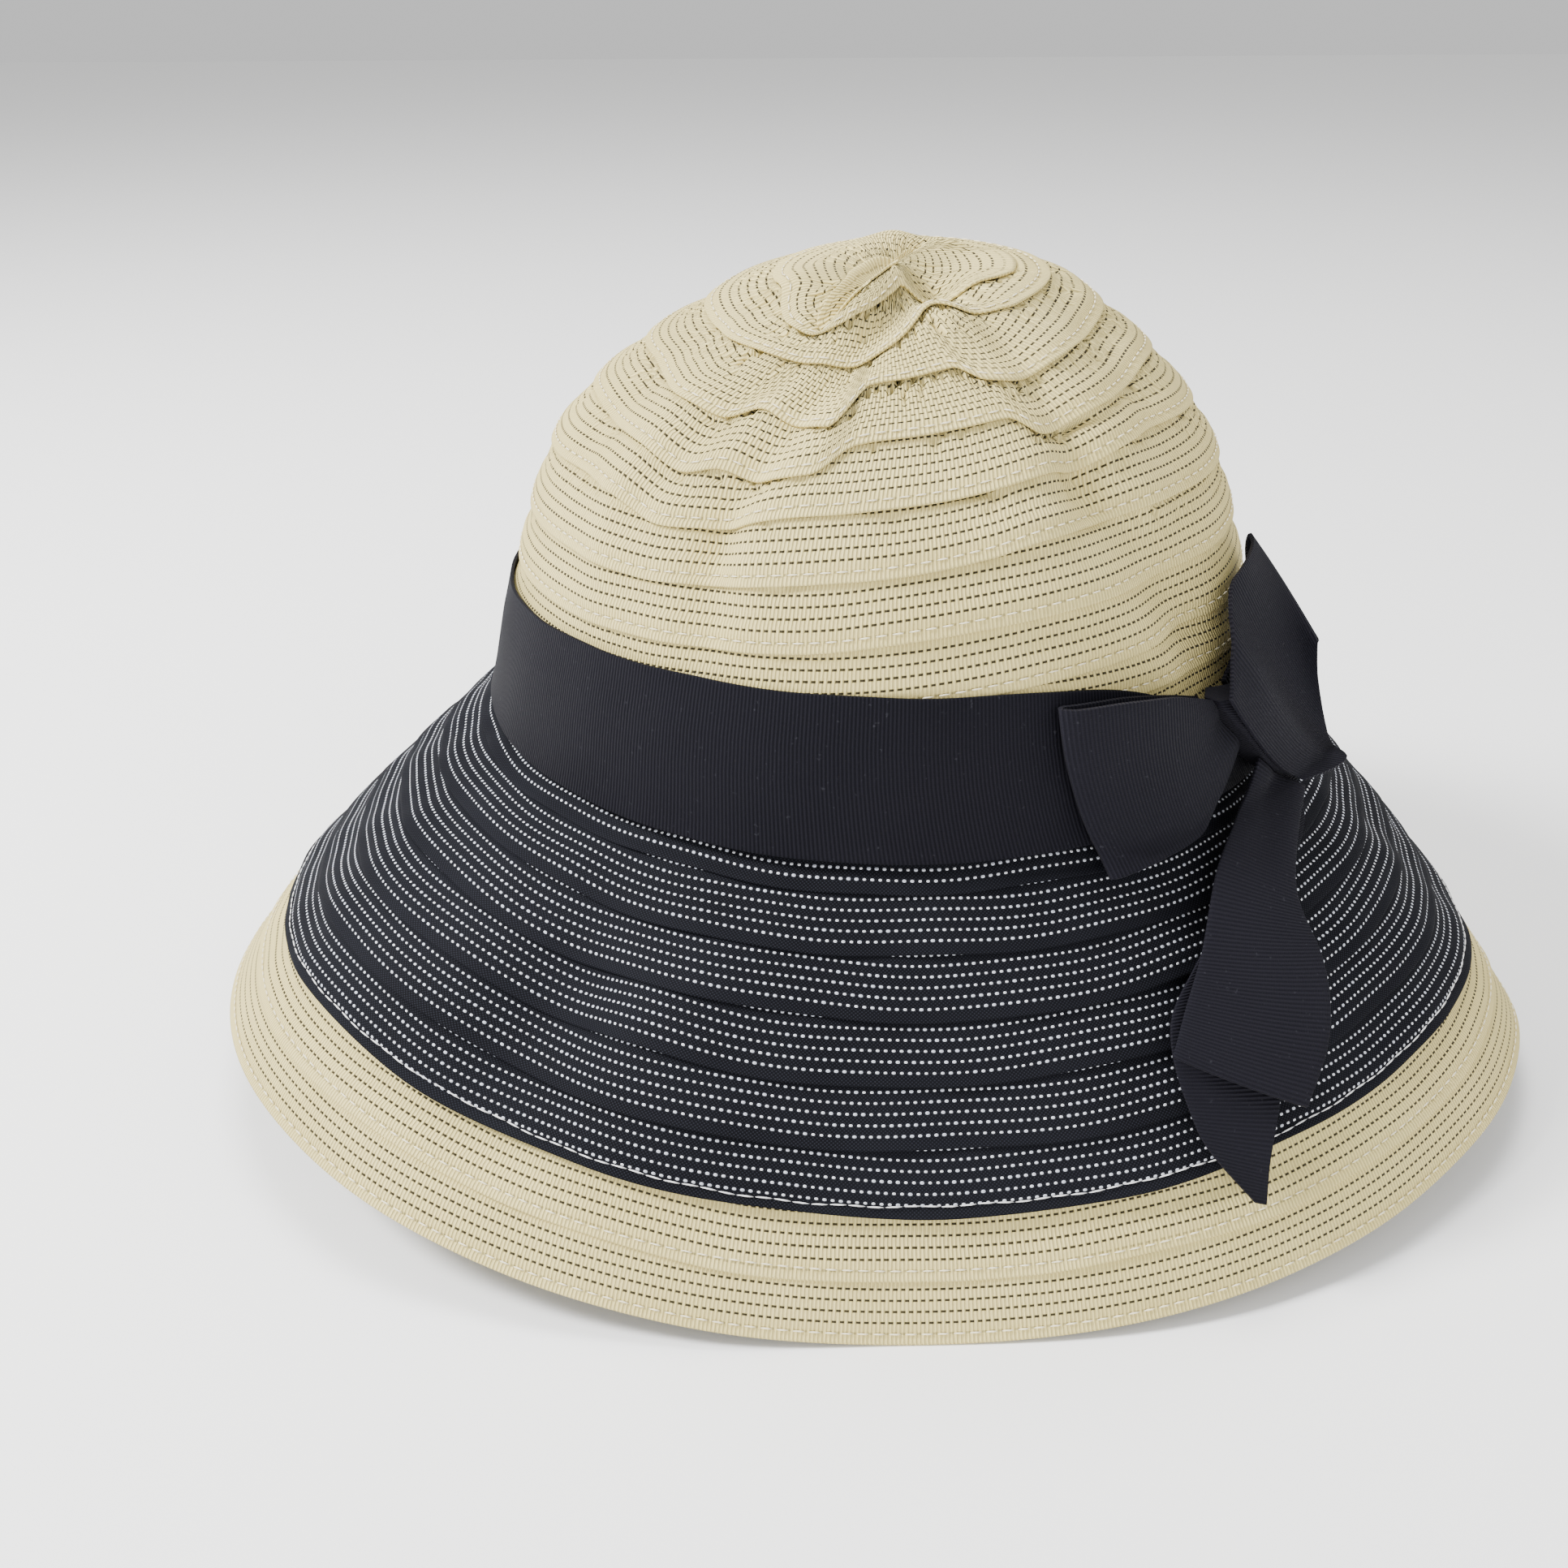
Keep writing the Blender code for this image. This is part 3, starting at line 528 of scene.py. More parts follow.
    def fold_height(self, down):
        """How far the brim stands out in its soft folds."""
        height = np.zeros((len(self.angles), 1))
        for values in BRIM_FOLDS:
            row = dict(zip(FOLD_COLUMNS, values))
            away = turn_between(self.angles[:, None], row["angle"])
            height += row["depth"] * np.exp(-((away / row["spread"]) ** 2))
        height = height * smooth_rise(down / BRIM_WIDTH)[None]
        near_band = smooth_rise(down / RIBBON_WIDTH)[None]
        for values in BRIM_BENDS:
            row = dict(zip(BEND_COLUMNS, values))
            away = turn_between(self.angles[:, None], row["angle"])
            along = (down[None] / BRIM_WIDTH - row["middle"]) / BEND_REACH
            bend = np.exp(-((away / row["spread"]) ** 2) - along * along)
            height = height + row["depth"] * near_band * bend
        return BRIM_WIDTH * height

    def sample(self, net, angle, row):
        """Values of a net between its knots."""
        turn = np.mod(angle, 360.0) * SURFACE_ANGLES / 360.0
        a = np.minimum(turn.astype(int), SURFACE_ANGLES - 1)
        row = np.clip(row, 0.0, net.shape[1] - INSIDE_LAST_ROW)
        b = row.astype(int)
        s = (turn - a)[:, None]
        t = (row - b)[:, None]
        near = net[a, b] * (1.0 - s) + net[a + 1, b] * s
        far = net[a, b + 1] * (1.0 - s) + net[a + 1, b + 1] * s
        return near * (1.0 - t) + far * t

    def at(self, angle, down):
        """Places on the cloth and the outward directions there."""
        crown_row = (down + self.length) / self.crown_step
        brim_row = down / SURFACE_STEP
        on_brim = (down > 0.0)[:, None]
        places = np.where(on_brim, self.sample(self.brim, angle, brim_row),
                          self.sample(self.crown, angle, crown_row))
        outs = np.where(on_brim, self.sample(self.brim_out, angle, brim_row),
                        self.sample(self.crown_out, angle, crown_row))
        return places, unit(outs)

    def lay(self, angle, down, off):
        """Places at a distance outside the cloth."""
        places, outs = self.at(angle, down)
        return places + off[:, None] * outs

    def lay_net(self, angle, down, off):
        """Places of a whole net at its distances outside the cloth."""
        return self.lay(angle.ravel(), down.ravel(), off.ravel()).reshape(angle.shape + (3,))


CLOTH = HatCloth()


def lap_reach(turn):
    """Lower edge of the crown's spiral after some turns down from the swirl."""
    round_number = np.floor(turn).astype(int)
    angle = 360.0 * (1.0 - (turn - round_number))
    angles = column_of(CROWN_LAPS, LAP_COLUMNS, "angle")
    laps = len(LAP_COLUMNS) - 1
    known = np.zeros_like(turn)
    for k in range(laps):
        values = column_of(CROWN_LAPS, LAP_COLUMNS, "lap%d" % k)
        known = np.where(round_number == k, curve(angles, values, angle), known)
    last = CROWN_LAPS[0][-1] + (turn - laps) * ROUND_WIDTH / CLOTH.length
    reach = np.where(round_number >= laps, last, known)
    return np.where(turn < 0.0, 0.0, reach)


def crown_place(angle, reach):
    """Angle round the hat and distance down the cloth of a place that is given about the swirl."""
    swing = np.radians(angle)
    shift = np.maximum(1.0 - (reach / SWIRL_SPAN) ** 2, 0.0) ** 2
    right = reach * np.cos(swing) + SWIRL_RIGHT * shift
    back = reach * np.sin(swing) + SWIRL_BACK * shift
    return np.degrees(np.arctan2(back, right)), (np.hypot(right, back) - 1.0) * CLOTH.length


# Building ribbons: each is modelled flat, as a net of turns and shares of its width, and then laid

def flat_net(columns, rows):
    """Flat net with corners at 0 and 1 in both directions, with a map for the ribbon's pattern."""
    bm = bmesh.new()
    bm.loops.layers.uv.new("ribbon")
    shift = Matrix.Translation((0.5, 0.5, 0.0))
    bmesh.ops.create_grid(bm, x_segments=columns, y_segments=rows, size=0.5, matrix=shift)
    return bm


def place_net(bm, columns, rows, points, along, across):
    """Move each vertex of a flat net to its place, and write its place on the ribbon in the map."""
    layer = bm.loops.layers.uv.active
    spots = {}
    for vertex in bm.verts:
        i = round(vertex.co.x * columns)
        j = round(vertex.co.y * rows)
        spots[vertex] = (i, j)
    for face in bm.faces:
        for loop in face.loops:
            i, j = spots[loop.vert]
            loop[layer].uv = (along[i, j], across[i, j])
    for vertex, (i, j) in spots.items():
        vertex.co = points[i, j]


def ribbon_net(places, run, across):
    """Net of a ribbon from its places, the run along it and the distance across it."""
    columns, rows = places.shape[0] - 1, places.shape[1] - 1
    bm = flat_net(columns, rows)
    along = np.broadcast_to(run[:, None] / MM, places.shape[:2])
    place_net(bm, columns, rows, places, along, np.broadcast_to(across / MM, places.shape[:2]))
    return bm


def whole_pitches(length, pitch):
    """How much a closed round's pattern is stretched so that it meets itself."""
    return round(length / pitch) * pitch / length


def lift_over(distance, height):
    """Stand-off of a round that lies over the next one, drawn in along its stitches."""
    seam = STITCH_DIP * np.exp(-(((distance - STITCH_ROW) / STITCH_SPREAD) ** 2))
    return height * (1.0 - smooth_rise((distance - OVERLAP) / LIFT_FADE)) - seam


def solid_piece(bm, name, material, thickness, offset=-1.0, bevel=0.0):
    """Turn a laid net into a ribbon with a real thickness."""
    bmesh.ops.remove_doubles(bm, verts=bm.verts, dist=WELD)
    bmesh.ops.dissolve_degenerate(bm, edges=bm.edges, dist=WELD)
    bmesh.ops.recalc_face_normals(bm, faces=bm.faces)
    mesh = bpy.data.meshes.new(name)
    bm.to_mesh(mesh)
    bm.free()
    mesh.shade_smooth()
    mesh.materials.append(material)
    piece = bpy.data.objects.new(name, mesh)
    bpy.context.scene.collection.objects.link(piece)
    if thickness:
        solid = piece.modifiers.new("Thickness", "SOLIDIFY")
        solid.thickness = thickness
        solid.offset = offset
        solid.use_even_offset = False
    if bevel:
        edge = piece.modifiers.new("Soft edges", "BEVEL")
        edge.width = bevel
        edge.segments = 2
        edge.limit_method = "ANGLE"
        edge.angle_limit = math.radians(50.0)
    return piece


# Materials. Lengths of the patterns are in millimetres.
DASH_PITCH = 1.56
DASH_HALF_LENGTH = 0.41
DASH_UNEVEN = 0.10
DASH_SOFT = 0.08
DASH_EDGES = (0.30, 0.16)
NATURAL_FIRST_ROW = 2.1
NATURAL_ROW_PITCH = 2.2
FIRST_ROW_WORN = 0.55
RIB_PITCH = 0.78
# Share of painted shade in the grooves between the natural ribbon's ribs
GROOVE_SHADE_SHARE = 0.62
# Share of painted highlight on the fibres that catch the light
FIBRE_HIGHLIGHT_SHARE = 0.22

NAVY_FIRST_ROW = 2.75
NAVY_ROW_PITCH = 2.1
DOT_HALF_LENGTH = 0.40
DOT_HALF_WIDTH = 0.29
DOT_LEAST = 0.85
DOT_UNEVEN = 0.25
DOT_EDGES = (1.1, 0.75)
DOME_EDGES = (1.25, 0.0)
DOT_RISE = 1.6
WEFT_PITCH = DASH_PITCH / 2.0
WARP_PITCH = 0.7
THREAD_EDGES = (0.45, 0.95)
THREAD_SHARE = 0.6
NAVY_RELIEF = 0.12

BLACK_RIB_PITCH = 0.8
BLACK_CROSS_PITCH = 0.45
# Share of painted highlight on the tops of the black ribbon's ribs
BLACK_RIB_HIGHLIGHT_SHARE = 0.40
BAND_RIB_DEPTH = 0.12
BOW_RIB_DEPTH = 0.22
# Share by which the bow's copy of the black ribbon is painted paler all over, as painted light
BOW_PAINTED_LIGHT = 0.25
LINT_SCALE = 900.0
LINT_EDGES = (0.68, 0.80)
LINT_SHARE = 0.18

FIBRE_DETAIL = 3.0
FIBRE_ROUGHNESS = 0.2
PATCH_EDGES = (0.3, 0.7)
THREAD_TWIST = 2600.0
THREAD_TWIST_SHARE = 0.4
THREAD_DEPTH = 0.05
STAGE_GRAIN = 60.0
STAGE_DEPTH = 0.05
SHEEN_ROUGHNESS = 0.45

# How fine each cloth's fibres are along it and over all, and how large its patches are and how
# much detail they have
NATURAL_FIBRES = (3.0, 1.6)
NAVY_FIBRES = (2.0, 2.2)
BLACK_FIBRES = (3.0, 1.8)
NATURAL_PATCHES = (28.0, 3.0)
NAVY_PATCHES = (24.0, 2.0)
BLACK_PATCHES = (30.0, 3.0)

# Shares of the weave, the fibres and the dashes or crossing threads in each cloth's relief
NATURAL_RELIEF_FIBRES = 0.5
NATURAL_RELIEF_DASH = 0.5
NAVY_RELIEF_WEAVE = 0.35
NAVY_RELIEF_FIBRES = 0.4
BLACK_RELIEF_CROSS = 0.06
BLACK_RELIEF_FIBRES = 0.5

# Roughness, sheen and gloss
NATURAL_FINISH = (0.72, 0.04, 0.18)
NAVY_FINISH = (0.70, 0.0, 0.08)
BLACK_FINISH = (0.62, 0.015, 0.06)
THREAD_FINISH = (0.60, 0.2, 0.18)
STAGE_FINISH = (0.85, 0.0, 0.18)


class Shade:
    """A material and a short way to add nodes to it."""

    def __init__(self, name):
        self.material = bpy.data.materials.new(name)
        self.material.use_nodes = True
        self.nodes = self.material.node_tree.nodes
        self.links = self.material.node_tree.links
        self.shader = self.nodes["Principled BSDF"]

    def put(self, socket, value):
        """Link a socket to another, or set its value."""
        if isinstance(value, bpy.types.NodeSocket):
            self.links.new(value, socket)
        else:
            socket.default_value = value

    def math(self, operation, first, second=0.0):
        """Result of a sum on one or two values."""
        node = self.nodes.new("ShaderNodeMath")
        node.operation = operation
        for socket, value in zip(node.inputs, (first, second)):
            self.put(socket, value)
        return node.outputs[0]

    def add(self, first, second):
        """Two values added up."""
        return self.math("ADD", first, second)

    def minus(self, first, second):
        """The second value taken from the first."""
        return self.math("SUBTRACT", first, second)

    def times(self, first, second):
        """Two values multiplied."""
        return self.math("MULTIPLY", first, second)

    def over(self, first, second):
        """The first value divided by the second."""
        return self.math("DIVIDE", first, second)

    def ribs(self, place, pitch):
        """Even ribs, 0 in the grooves and 1 on top."""
        wave = self.math("COSINE", self.times(place, 2.0 * math.pi / pitch))
        return self.add(self.times(wave, 0.5), 0.5)

    def fibres(self, along, across, stretch, scale):
        """Fine noise whose grain runs across the ribbon."""
        return self.noise(self.vector(self.times(along, stretch), across), scale, FIBRE_DETAIL)

    def patches(self, scale, detail, first, second):
        """Colour that drifts between two over the object."""
        cloud = self.noise(self.object_place(), scale, detail)
        return self.mix(self.soft_step(cloud, *PATCH_EDGES), first, second)

    def soft_step(self, value, low, high):
        """0 below low and 1 above high, or the other way round where low is the larger."""
        node = self.nodes.new("ShaderNodeMapRange")
        node.interpolation_type = "SMOOTHSTEP"
        self.put(node.inputs["Value"], value)
        flipped = low > high
        node.inputs["From Min"].default_value = min(low, high)
        node.inputs["From Max"].default_value = max(low, high)
        node.inputs["To Min"].default_value = 1.0 if flipped else 0.0
        node.inputs["To Max"].default_value = 0.0 if flipped else 1.0
        return node.outputs[0]

    def mix(self, share, first, second):
        """Colour between two colours."""
        node = self.nodes.new("ShaderNodeMix")
        node.data_type = "RGBA"
        self.put(node.inputs[0], share)
        self.put(node.inputs[6], first)
        self.put(node.inputs[7], second)
        return node.outputs[2]

    def noise(self, where, scale, detail):
        """Soft noise."""
        node = self.nodes.new("ShaderNodeTexNoise")
        self.put(node.inputs["Vector"], where)
        node.inputs["Scale"].default_value = scale
        node.inputs["Detail"].default_value = detail
        return node.outputs["Fac"]

    def object_place(self):
        """Place on the object, in metres."""
        return self.nodes.new("ShaderNodeTexCoord").outputs["Object"]

    def ribbon_place(self):
        """Distances along and across the ribbon, in millimetres."""
        uv = self.nodes.new("ShaderNodeUVMap")
        uv.uv_map = "ribbon"
        parts = self.nodes.new("ShaderNodeSeparateXYZ")
        self.links.new(uv.outputs["UV"], parts.inputs["Vector"])
        return parts.outputs["X"], parts.outputs["Y"]

    def vector(self, x, y):
        """Flat vector from two values."""
        node = self.nodes.new("ShaderNodeCombineXYZ")
        for socket, value in zip(node.inputs, (x, y)):
            self.put(socket, value)
        return node.outputs[0]

    def random(self, where):
        """Random value that is the same over each cell."""
        node = self.nodes.new("ShaderNodeTexWhiteNoise")
        node.noise_dimensions = "3D"
        self.put(node.inputs["Vector"], where)
        return node.outputs["Value"]

    def bump(self, height, distance):
        """Surface detail from a height."""
        node = self.nodes.new("ShaderNodeBump")
        node.inputs["Distance"].default_value = distance
        self.put(node.inputs["Height"], height)
        return node.outputs[0]

    def finish(self, colour, normal, values, fibres=None):
        """Set the shader's own sockets. Fibres roughen a cloth unevenly."""
        roughness, sheen, gloss = values
        if fibres is not None:
            roughness = self.add(roughness, self.times(fibres, FIBRE_ROUGHNESS))
        self.put(self.shader.inputs["Base Color"], colour)
        self.put(self.shader.inputs["Roughness"], roughness)
        self.put(self.shader.inputs["Normal"], normal)
        self.shader.inputs["Specular IOR Level"].default_value = gloss
        self.shader.inputs["Sheen Weight"].default_value = sheen
        self.shader.inputs["Sheen Roughness"].default_value = SHEEN_ROUGHNESS
        return self.material


def rows_of(shade, along, across, first, pitch):
    """Distance from the nearest row and from the nearest mark in it, its row and its cell."""
    rows = shade.over(shade.minus(across, first), pitch)
    row = shade.math("ROUND", rows)
    from_row = shade.times(shade.math("ABSOLUTE", shade.minus(rows, row)), pitch)
    cells = shade.add(shade.over(along, DASH_PITCH), shade.times(row, 0.5))
    cell = shade.math("ROUND", cells)
    from_mark = shade.times(shade.math("ABSOLUTE", shade.minus(cells, cell)), DASH_PITCH)
    return from_row, from_mark, row, cell


def natural_ribbon(look):
    """Natural ribbed ribbon with rows of fine dark dashes."""
    shade = Shade("natural_ribbon_look")
    along, across = shade.ribbon_place()
    from_row, from_mark, row, cell = rows_of(shade, along, across, NATURAL_FIRST_ROW, NATURAL_ROW_PITCH)
    here = shade.random(shade.vector(row, cell))
    half_length = shade.add(shade.times(here, DASH_UNEVEN), DASH_HALF_LENGTH)
    in_mark = shade.soft_step(shade.minus(from_mark, half_length), DASH_SOFT, -DASH_SOFT)
    in_row = shade.soft_step(from_row, *DASH_EDGES)
    real_row = shade.math("GREATER_THAN", row, -0.5)
    first_row = shade.math("LESS_THAN", row, 0.5)
    wear_and_painted_light = shade.minus(1.0, shade.times(first_row, FIRST_ROW_WORN))
    dash = shade.times(shade.times(shade.times(in_mark, in_row), real_row), wear_and_painted_light)
    rib = shade.ribs(along, RIB_PITCH)
    fibres = shade.fibres(along, across, *NATURAL_FIBRES)
    tone = shade.patches(*NATURAL_PATCHES, look.natural_shade, look.natural)
    # Painted shade: the grooves between the ribs are darkened
    tone = shade.mix(shade.times(shade.minus(1.0, rib), GROOVE_SHADE_SHARE), tone, look.natural_groove_shade)
    # Painted highlight: fibres are made paler where they catch the light
    tone = shade.mix(shade.times(fibres, FIBRE_HIGHLIGHT_SHARE), tone, look.natural_fibre_highlight)
    tone = shade.mix(dash, tone, look.dash)
    height = shade.add(rib, shade.times(fibres, NATURAL_RELIEF_FIBRES))
    height = shade.minus(height, shade.times(dash, NATURAL_RELIEF_DASH))
    return shade.finish(tone, shade.bump(height, look.rib_depth * MM), NATURAL_FINISH, fibres)


def navy_ribbon(look):
    """Navy ribbon with rows of raised white dots."""
    shade = Shade("navy_ribbon_look")
    along, across = shade.ribbon_place()
    from_row, from_mark, row, cell = rows_of(shade, along, across, NAVY_FIRST_ROW, NAVY_ROW_PITCH)
    here = shade.random(shade.vector(row, cell))
    size = shade.add(shade.times(here, DOT_UNEVEN), DOT_LEAST)
    wide = shade.over(from_mark, DOT_HALF_LENGTH)
    tall = shade.over(from_row, DOT_HALF_WIDTH)
    away = shade.math("SQRT", shade.add(shade.times(wide, wide), shade.times(tall, tall)))
    away = shade.over(away, size)
    real_row = shade.math("GREATER_THAN", row, -0.5)
    dot = shade.times(shade.soft_step(away, *DOT_EDGES), real_row)
    dome = shade.times(shade.soft_step(away, *DOME_EDGES), real_row)
    weft = shade.math("COSINE", shade.times(along, 2.0 * math.pi / WEFT_PITCH))
    warp = shade.math("COSINE", shade.times(across, 2.0 * math.pi / WARP_PITCH))
    weave = shade.times(shade.add(shade.times(weft, warp), 1.0), 0.5)
    fibres = shade.fibres(along, across, *NAVY_FIBRES)
    tone = shade.patches(*NAVY_PATCHES, look.navy, look.navy_light)
    threads = shade.times(shade.soft_step(weave, *THREAD_EDGES), THREAD_SHARE)
    tone = shade.mix(threads, tone, look.navy_thread)
    tone = shade.mix(dot, tone, shade.mix(here, look.dot, look.dot_shade))
    height = shade.add(shade.times(weave, NAVY_RELIEF_WEAVE), shade.times(fibres, NAVY_RELIEF_FIBRES))
    height = shade.add(height, shade.times(dome, DOT_RISE))
    return shade.finish(tone, shade.bump(height, NAVY_RELIEF * MM), NAVY_FINISH, fibres)


def black_ribbon(look, name, rib_depth, wear_and_painted_light):
    """Black ribbed ribbon of the band and the bow, with painted highlights on the tops of its ribs; the
    bow's copy is painted paler all over as painted light.
    """
    shade = Shade(name)
    along, across = shade.ribbon_place()
    rib = shade.ribs(along, BLACK_RIB_PITCH)
    cross = shade.math("COSINE", shade.times(across, 2.0 * math.pi / BLACK_CROSS_PITCH))
    fibres = shade.fibres(along, across, *BLACK_FIBRES)
    tone = shade.patches(*BLACK_PATCHES, look.black, look.black_light)
    # Painted light: the bow's copy is mixed paler all over towards the rib highlight colour
    tone = shade.mix(wear_and_painted_light, tone, look.black_rib_highlight)
    # Painted highlight on the tops of the ribs
    tone = shade.mix(shade.times(rib, BLACK_RIB_HIGHLIGHT_SHARE), tone, look.black_rib_highlight)
    lint = shade.noise(shade.object_place(), LINT_SCALE, 2.0)
    tone = shade.mix(shade.times(shade.soft_step(lint, *LINT_EDGES), LINT_SHARE), tone, look.lint)
    height = shade.add(rib, shade.times(cross, BLACK_RELIEF_CROSS))
    height = shade.add(height, shade.times(fibres, BLACK_RELIEF_FIBRES))
    return shade.finish(tone, shade.bump(height, rib_depth * MM), BLACK_FINISH, fibres)


def sewing_thread(name, colour, shadow):
    """Twisted sewing thread."""
    shade = Shade(name)
    twist = shade.noise(shade.object_place(), THREAD_TWIST, 1.0)
    tone = shade.mix(shade.times(twist, THREAD_TWIST_SHARE), colour, shadow)
    return shade.finish(tone, shade.bump(twist, THREAD_DEPTH * MM), THREAD_FINISH)


def plain_stage(name, colour):
    """Plain pale surface for the stage."""
    shade = Shade(name)
    grain = shade.noise(shade.object_place(), STAGE_GRAIN, FIBRE_DETAIL)
    return shade.finish(colour, shade.bump(grain, STAGE_DEPTH * MM), STAGE_FINISH)


# What a user would change

def colour_of(name, description, default):
    """Colour property of a cloth."""
    return FloatVectorProperty(name=name, description=description, subtype="COLOR", size=4,
                               min=0.0, max=1.0, default=default)


class HatLook(bpy.types.PropertyGroup):
    """Colours of the ribbons and threads."""

    natural: colour_of("Natural", "Natural ribbon", (0.88, 0.735, 0.30, 1.0))
    natural_shade: colour_of("Natural shade", "Darker patches of the natural ribbon",
                             (0.78, 0.645, 0.25, 1.0))
    # Painted shade in the grooves between the natural ribbon's ribs
    natural_groove_shade: colour_of("Natural groove", "Grooves between the ribs", (0.34, 0.26, 0.09, 1.0))
    # Painted highlight on the natural ribbon's fibres
    natural_fibre_highlight: colour_of("Natural light", "Fibres that catch the light", (0.97, 0.86, 0.47, 1.0))
    dash: colour_of("Dash", "Dark dashes of the natural ribbon", (0.034, 0.027, 0.011, 1.0))
    navy: colour_of("Navy", "Navy ribbon", (0.0020, 0.0020, 0.0032, 1.0))
    navy_light: colour_of("Navy light", "Lighter patches of the navy ribbon",
                          (0.0042, 0.0043, 0.0062, 1.0))
    navy_thread: colour_of("Navy thread", "Threads that stand out of the navy ribbon",
                           (0.022, 0.024, 0.033, 1.0))
    dot: colour_of("Dot", "White dots of the navy ribbon", (0.85, 0.86, 0.90, 1.0))
    dot_shade: colour_of("Dot shade", "Duller white dots", (0.55, 0.58, 0.66, 1.0))
    black: colour_of("Black", "Black ribbon", (0.0022, 0.0022, 0.0040, 1.0))
    black_light: colour_of("Black light", "Lighter patches of the black ribbon",
                           (0.0040, 0.0038, 0.0062, 1.0))
    # Painted highlight on the tops of the black ribbon's ribs
    black_rib_highlight: colour_of("Black rib", "Ribs of the black ribbon", (0.0190, 0.0182, 0.0260, 1.0))
    lint: colour_of("Lint", "Fine specks on the black ribbon", (0.10, 0.10, 0.12, 1.0))
    natural_thread: colour_of("Natural thread", "Thread of the natural rounds", (0.92, 0.84, 0.58, 1.0))
    white_thread: colour_of("White thread", "Thread of the lowest navy round", (0.8, 0.8, 0.82, 1.0))
    thread_shade: colour_of("Thread shade", "Twist of both threads", (0.55, 0.5, 0.4, 1.0))
    floor: colour_of("Floor", "Floor of the stage", (0.97, 0.97, 0.965, 1.0))
    rib_depth: FloatProperty(name="Rib depth", default=0.3, min=0.0, max=0.8,
                             description="Depth of the natural ribbon's ribs, in millimetres")


class HatSewing(bpy.types.PropertyGroup):
    """Sizes of the rounds, gathers and stitches."""

    lap_height: FloatProperty(name="Lap height", description="How far a round stands off the next one",
                              default=0.8 * MM, min=0.0, max=2.0 * MM, subtype="DISTANCE")
    gather_depth: FloatProperty(name="Gather depth", description="Depth of the gathers under the upper laps",
                                default=3.8 * MM, min=0.0, max=6.0 * MM, subtype="DISTANCE")
    stitch_pitch: FloatProperty(name="Stitch pitch", description="Distance from one stitch to the next",
                                default=3.1 * MM, min=1.0 * MM, max=8.0 * MM, subtype="DISTANCE")
    stitch_width: FloatProperty(name="Stitch width", description="Width of a stitch",
                                default=0.36 * MM, min=0.1 * MM, max=1.0 * MM, subtype="DISTANCE")
    bow_steps: IntProperty(name="Bow steps", description="Steps between two sections of the bow's ribbons",
                           default=7, min=2, max=16)


# Rounds of ribbon

def gather_waves(angle, turn, reach):
    """Uneven narrow gathers, deepest near the tip."""
    swing = np.radians(angle)
    count = GATHER_COUNT + GATHER_COUNT_RISE * reach
    narrow = np.maximum(np.sin(swing * count + waves(swing, GATHER_SWAY, turn)), 0.0) ** GATHER_SHARPNESS
    broad = 0.5 + waves(swing, GATHER_BROAD, turn)
    uneven = 0.65 + waves(swing, GATHER_UNEVEN, turn)
    fade = 1.0 - GATHER_FADE * smooth_rise((reach - GATHER_FADE_FROM) / GATHER_FADE_OVER)
    return narrow * uneven * (0.5 + 0.5 * broad) * fade


def crown_net(sewing):
    """The crown's whole spiral of ribbon, from the tip to the head line."""
    last_turn = len(LAP_COLUMNS) - 1
    while lap_reach(np.array([last_turn]))[0] < 1.0:
        last_turn += 1.0 / COLUMNS
    last_turn += LAST_TURNS
    columns = int(last_turn * COLUMNS)
    turn = np.arange(columns + 1) * last_turn / columns
    lower = np.minimum(lap_reach(turn), 1.0 - CROWN_FOOT / CLOTH.length)[:, None]
    above = lap_reach(turn - 1.0)[:, None]
    exposed = np.maximum(lower - above, LEAST_EXPOSED)
    overlap = np.minimum(OVERLAP / CLOTH.length, above)
    reach = np.maximum(lower - exposed * CROWN_ROWS - overlap * CROWN_UNDER_ROWS, 0.0)
    distance = (lower - reach) * CLOTH.length
    swung = np.broadcast_to(-360.0 * turn[:, None], reach.shape)
    share = distance / (exposed * CLOTH.length)
    gathers = gather_waves(swung, np.floor(turn)[:, None], reach)
    gathers = gathers * smooth_rise((share - GATHER_STARTS) / GATHER_GROWS) * smooth_rise(reach / TIP_SMOOTH)
    off = lift_over(distance, sewing.lap_height) - sewing.gather_depth * gathers
    places = CLOTH.lay_net(*crown_place(swung, reach), off)
    return ribbon_net(places, run_along(places[:, MIDDLE_ROW]), distance)


def ring_net(low, high, top, depth, lift, sag=0.0, uneven=1.0):
    """One closed round: its lower edge, where the round above ends over it, and its hidden top."""
    exposed = low - high
    downs = np.append(low - exposed * ROW_SHARES, top)
    wide, deep = np.meshgrid(turn_angles(RING_COLUMNS), downs, indexing="ij")
    swing = np.radians(wide)
    number = low / ROUND_WIDTH
    distance = low - deep
    share = distance / exposed
    ripple = uneven * waves(swing, ROUND_RIPPLE, number) * smooth_rise(1.5 - share)
    off = depth + lift_over(distance, lift) - sag * smooth_rise(1.0 - share) + ripple
    places = CLOTH.lay_net(wide, deep + uneven * waves(swing, ROUND_SWAY, number), off)
    run = run_along(places[:, MIDDLE_ROW])
    return ribbon_net(places, run * whole_pitches(run[-1], DASH_PITCH * MM), distance)


def gather_up(nets):
    """Put several nets into one."""
    whole = bmesh.new()
    whole.loops.layers.uv.new("ribbon")
    for net in nets:
        bmesh.ops.remove_doubles(net, verts=net.verts, dist=WELD)
        mesh = bpy.data.meshes.new("part")
        net.to_mesh(mesh)
        net.free()
        whole.from_mesh(mesh)
        bpy.data.meshes.remove(mesh)
    return whole


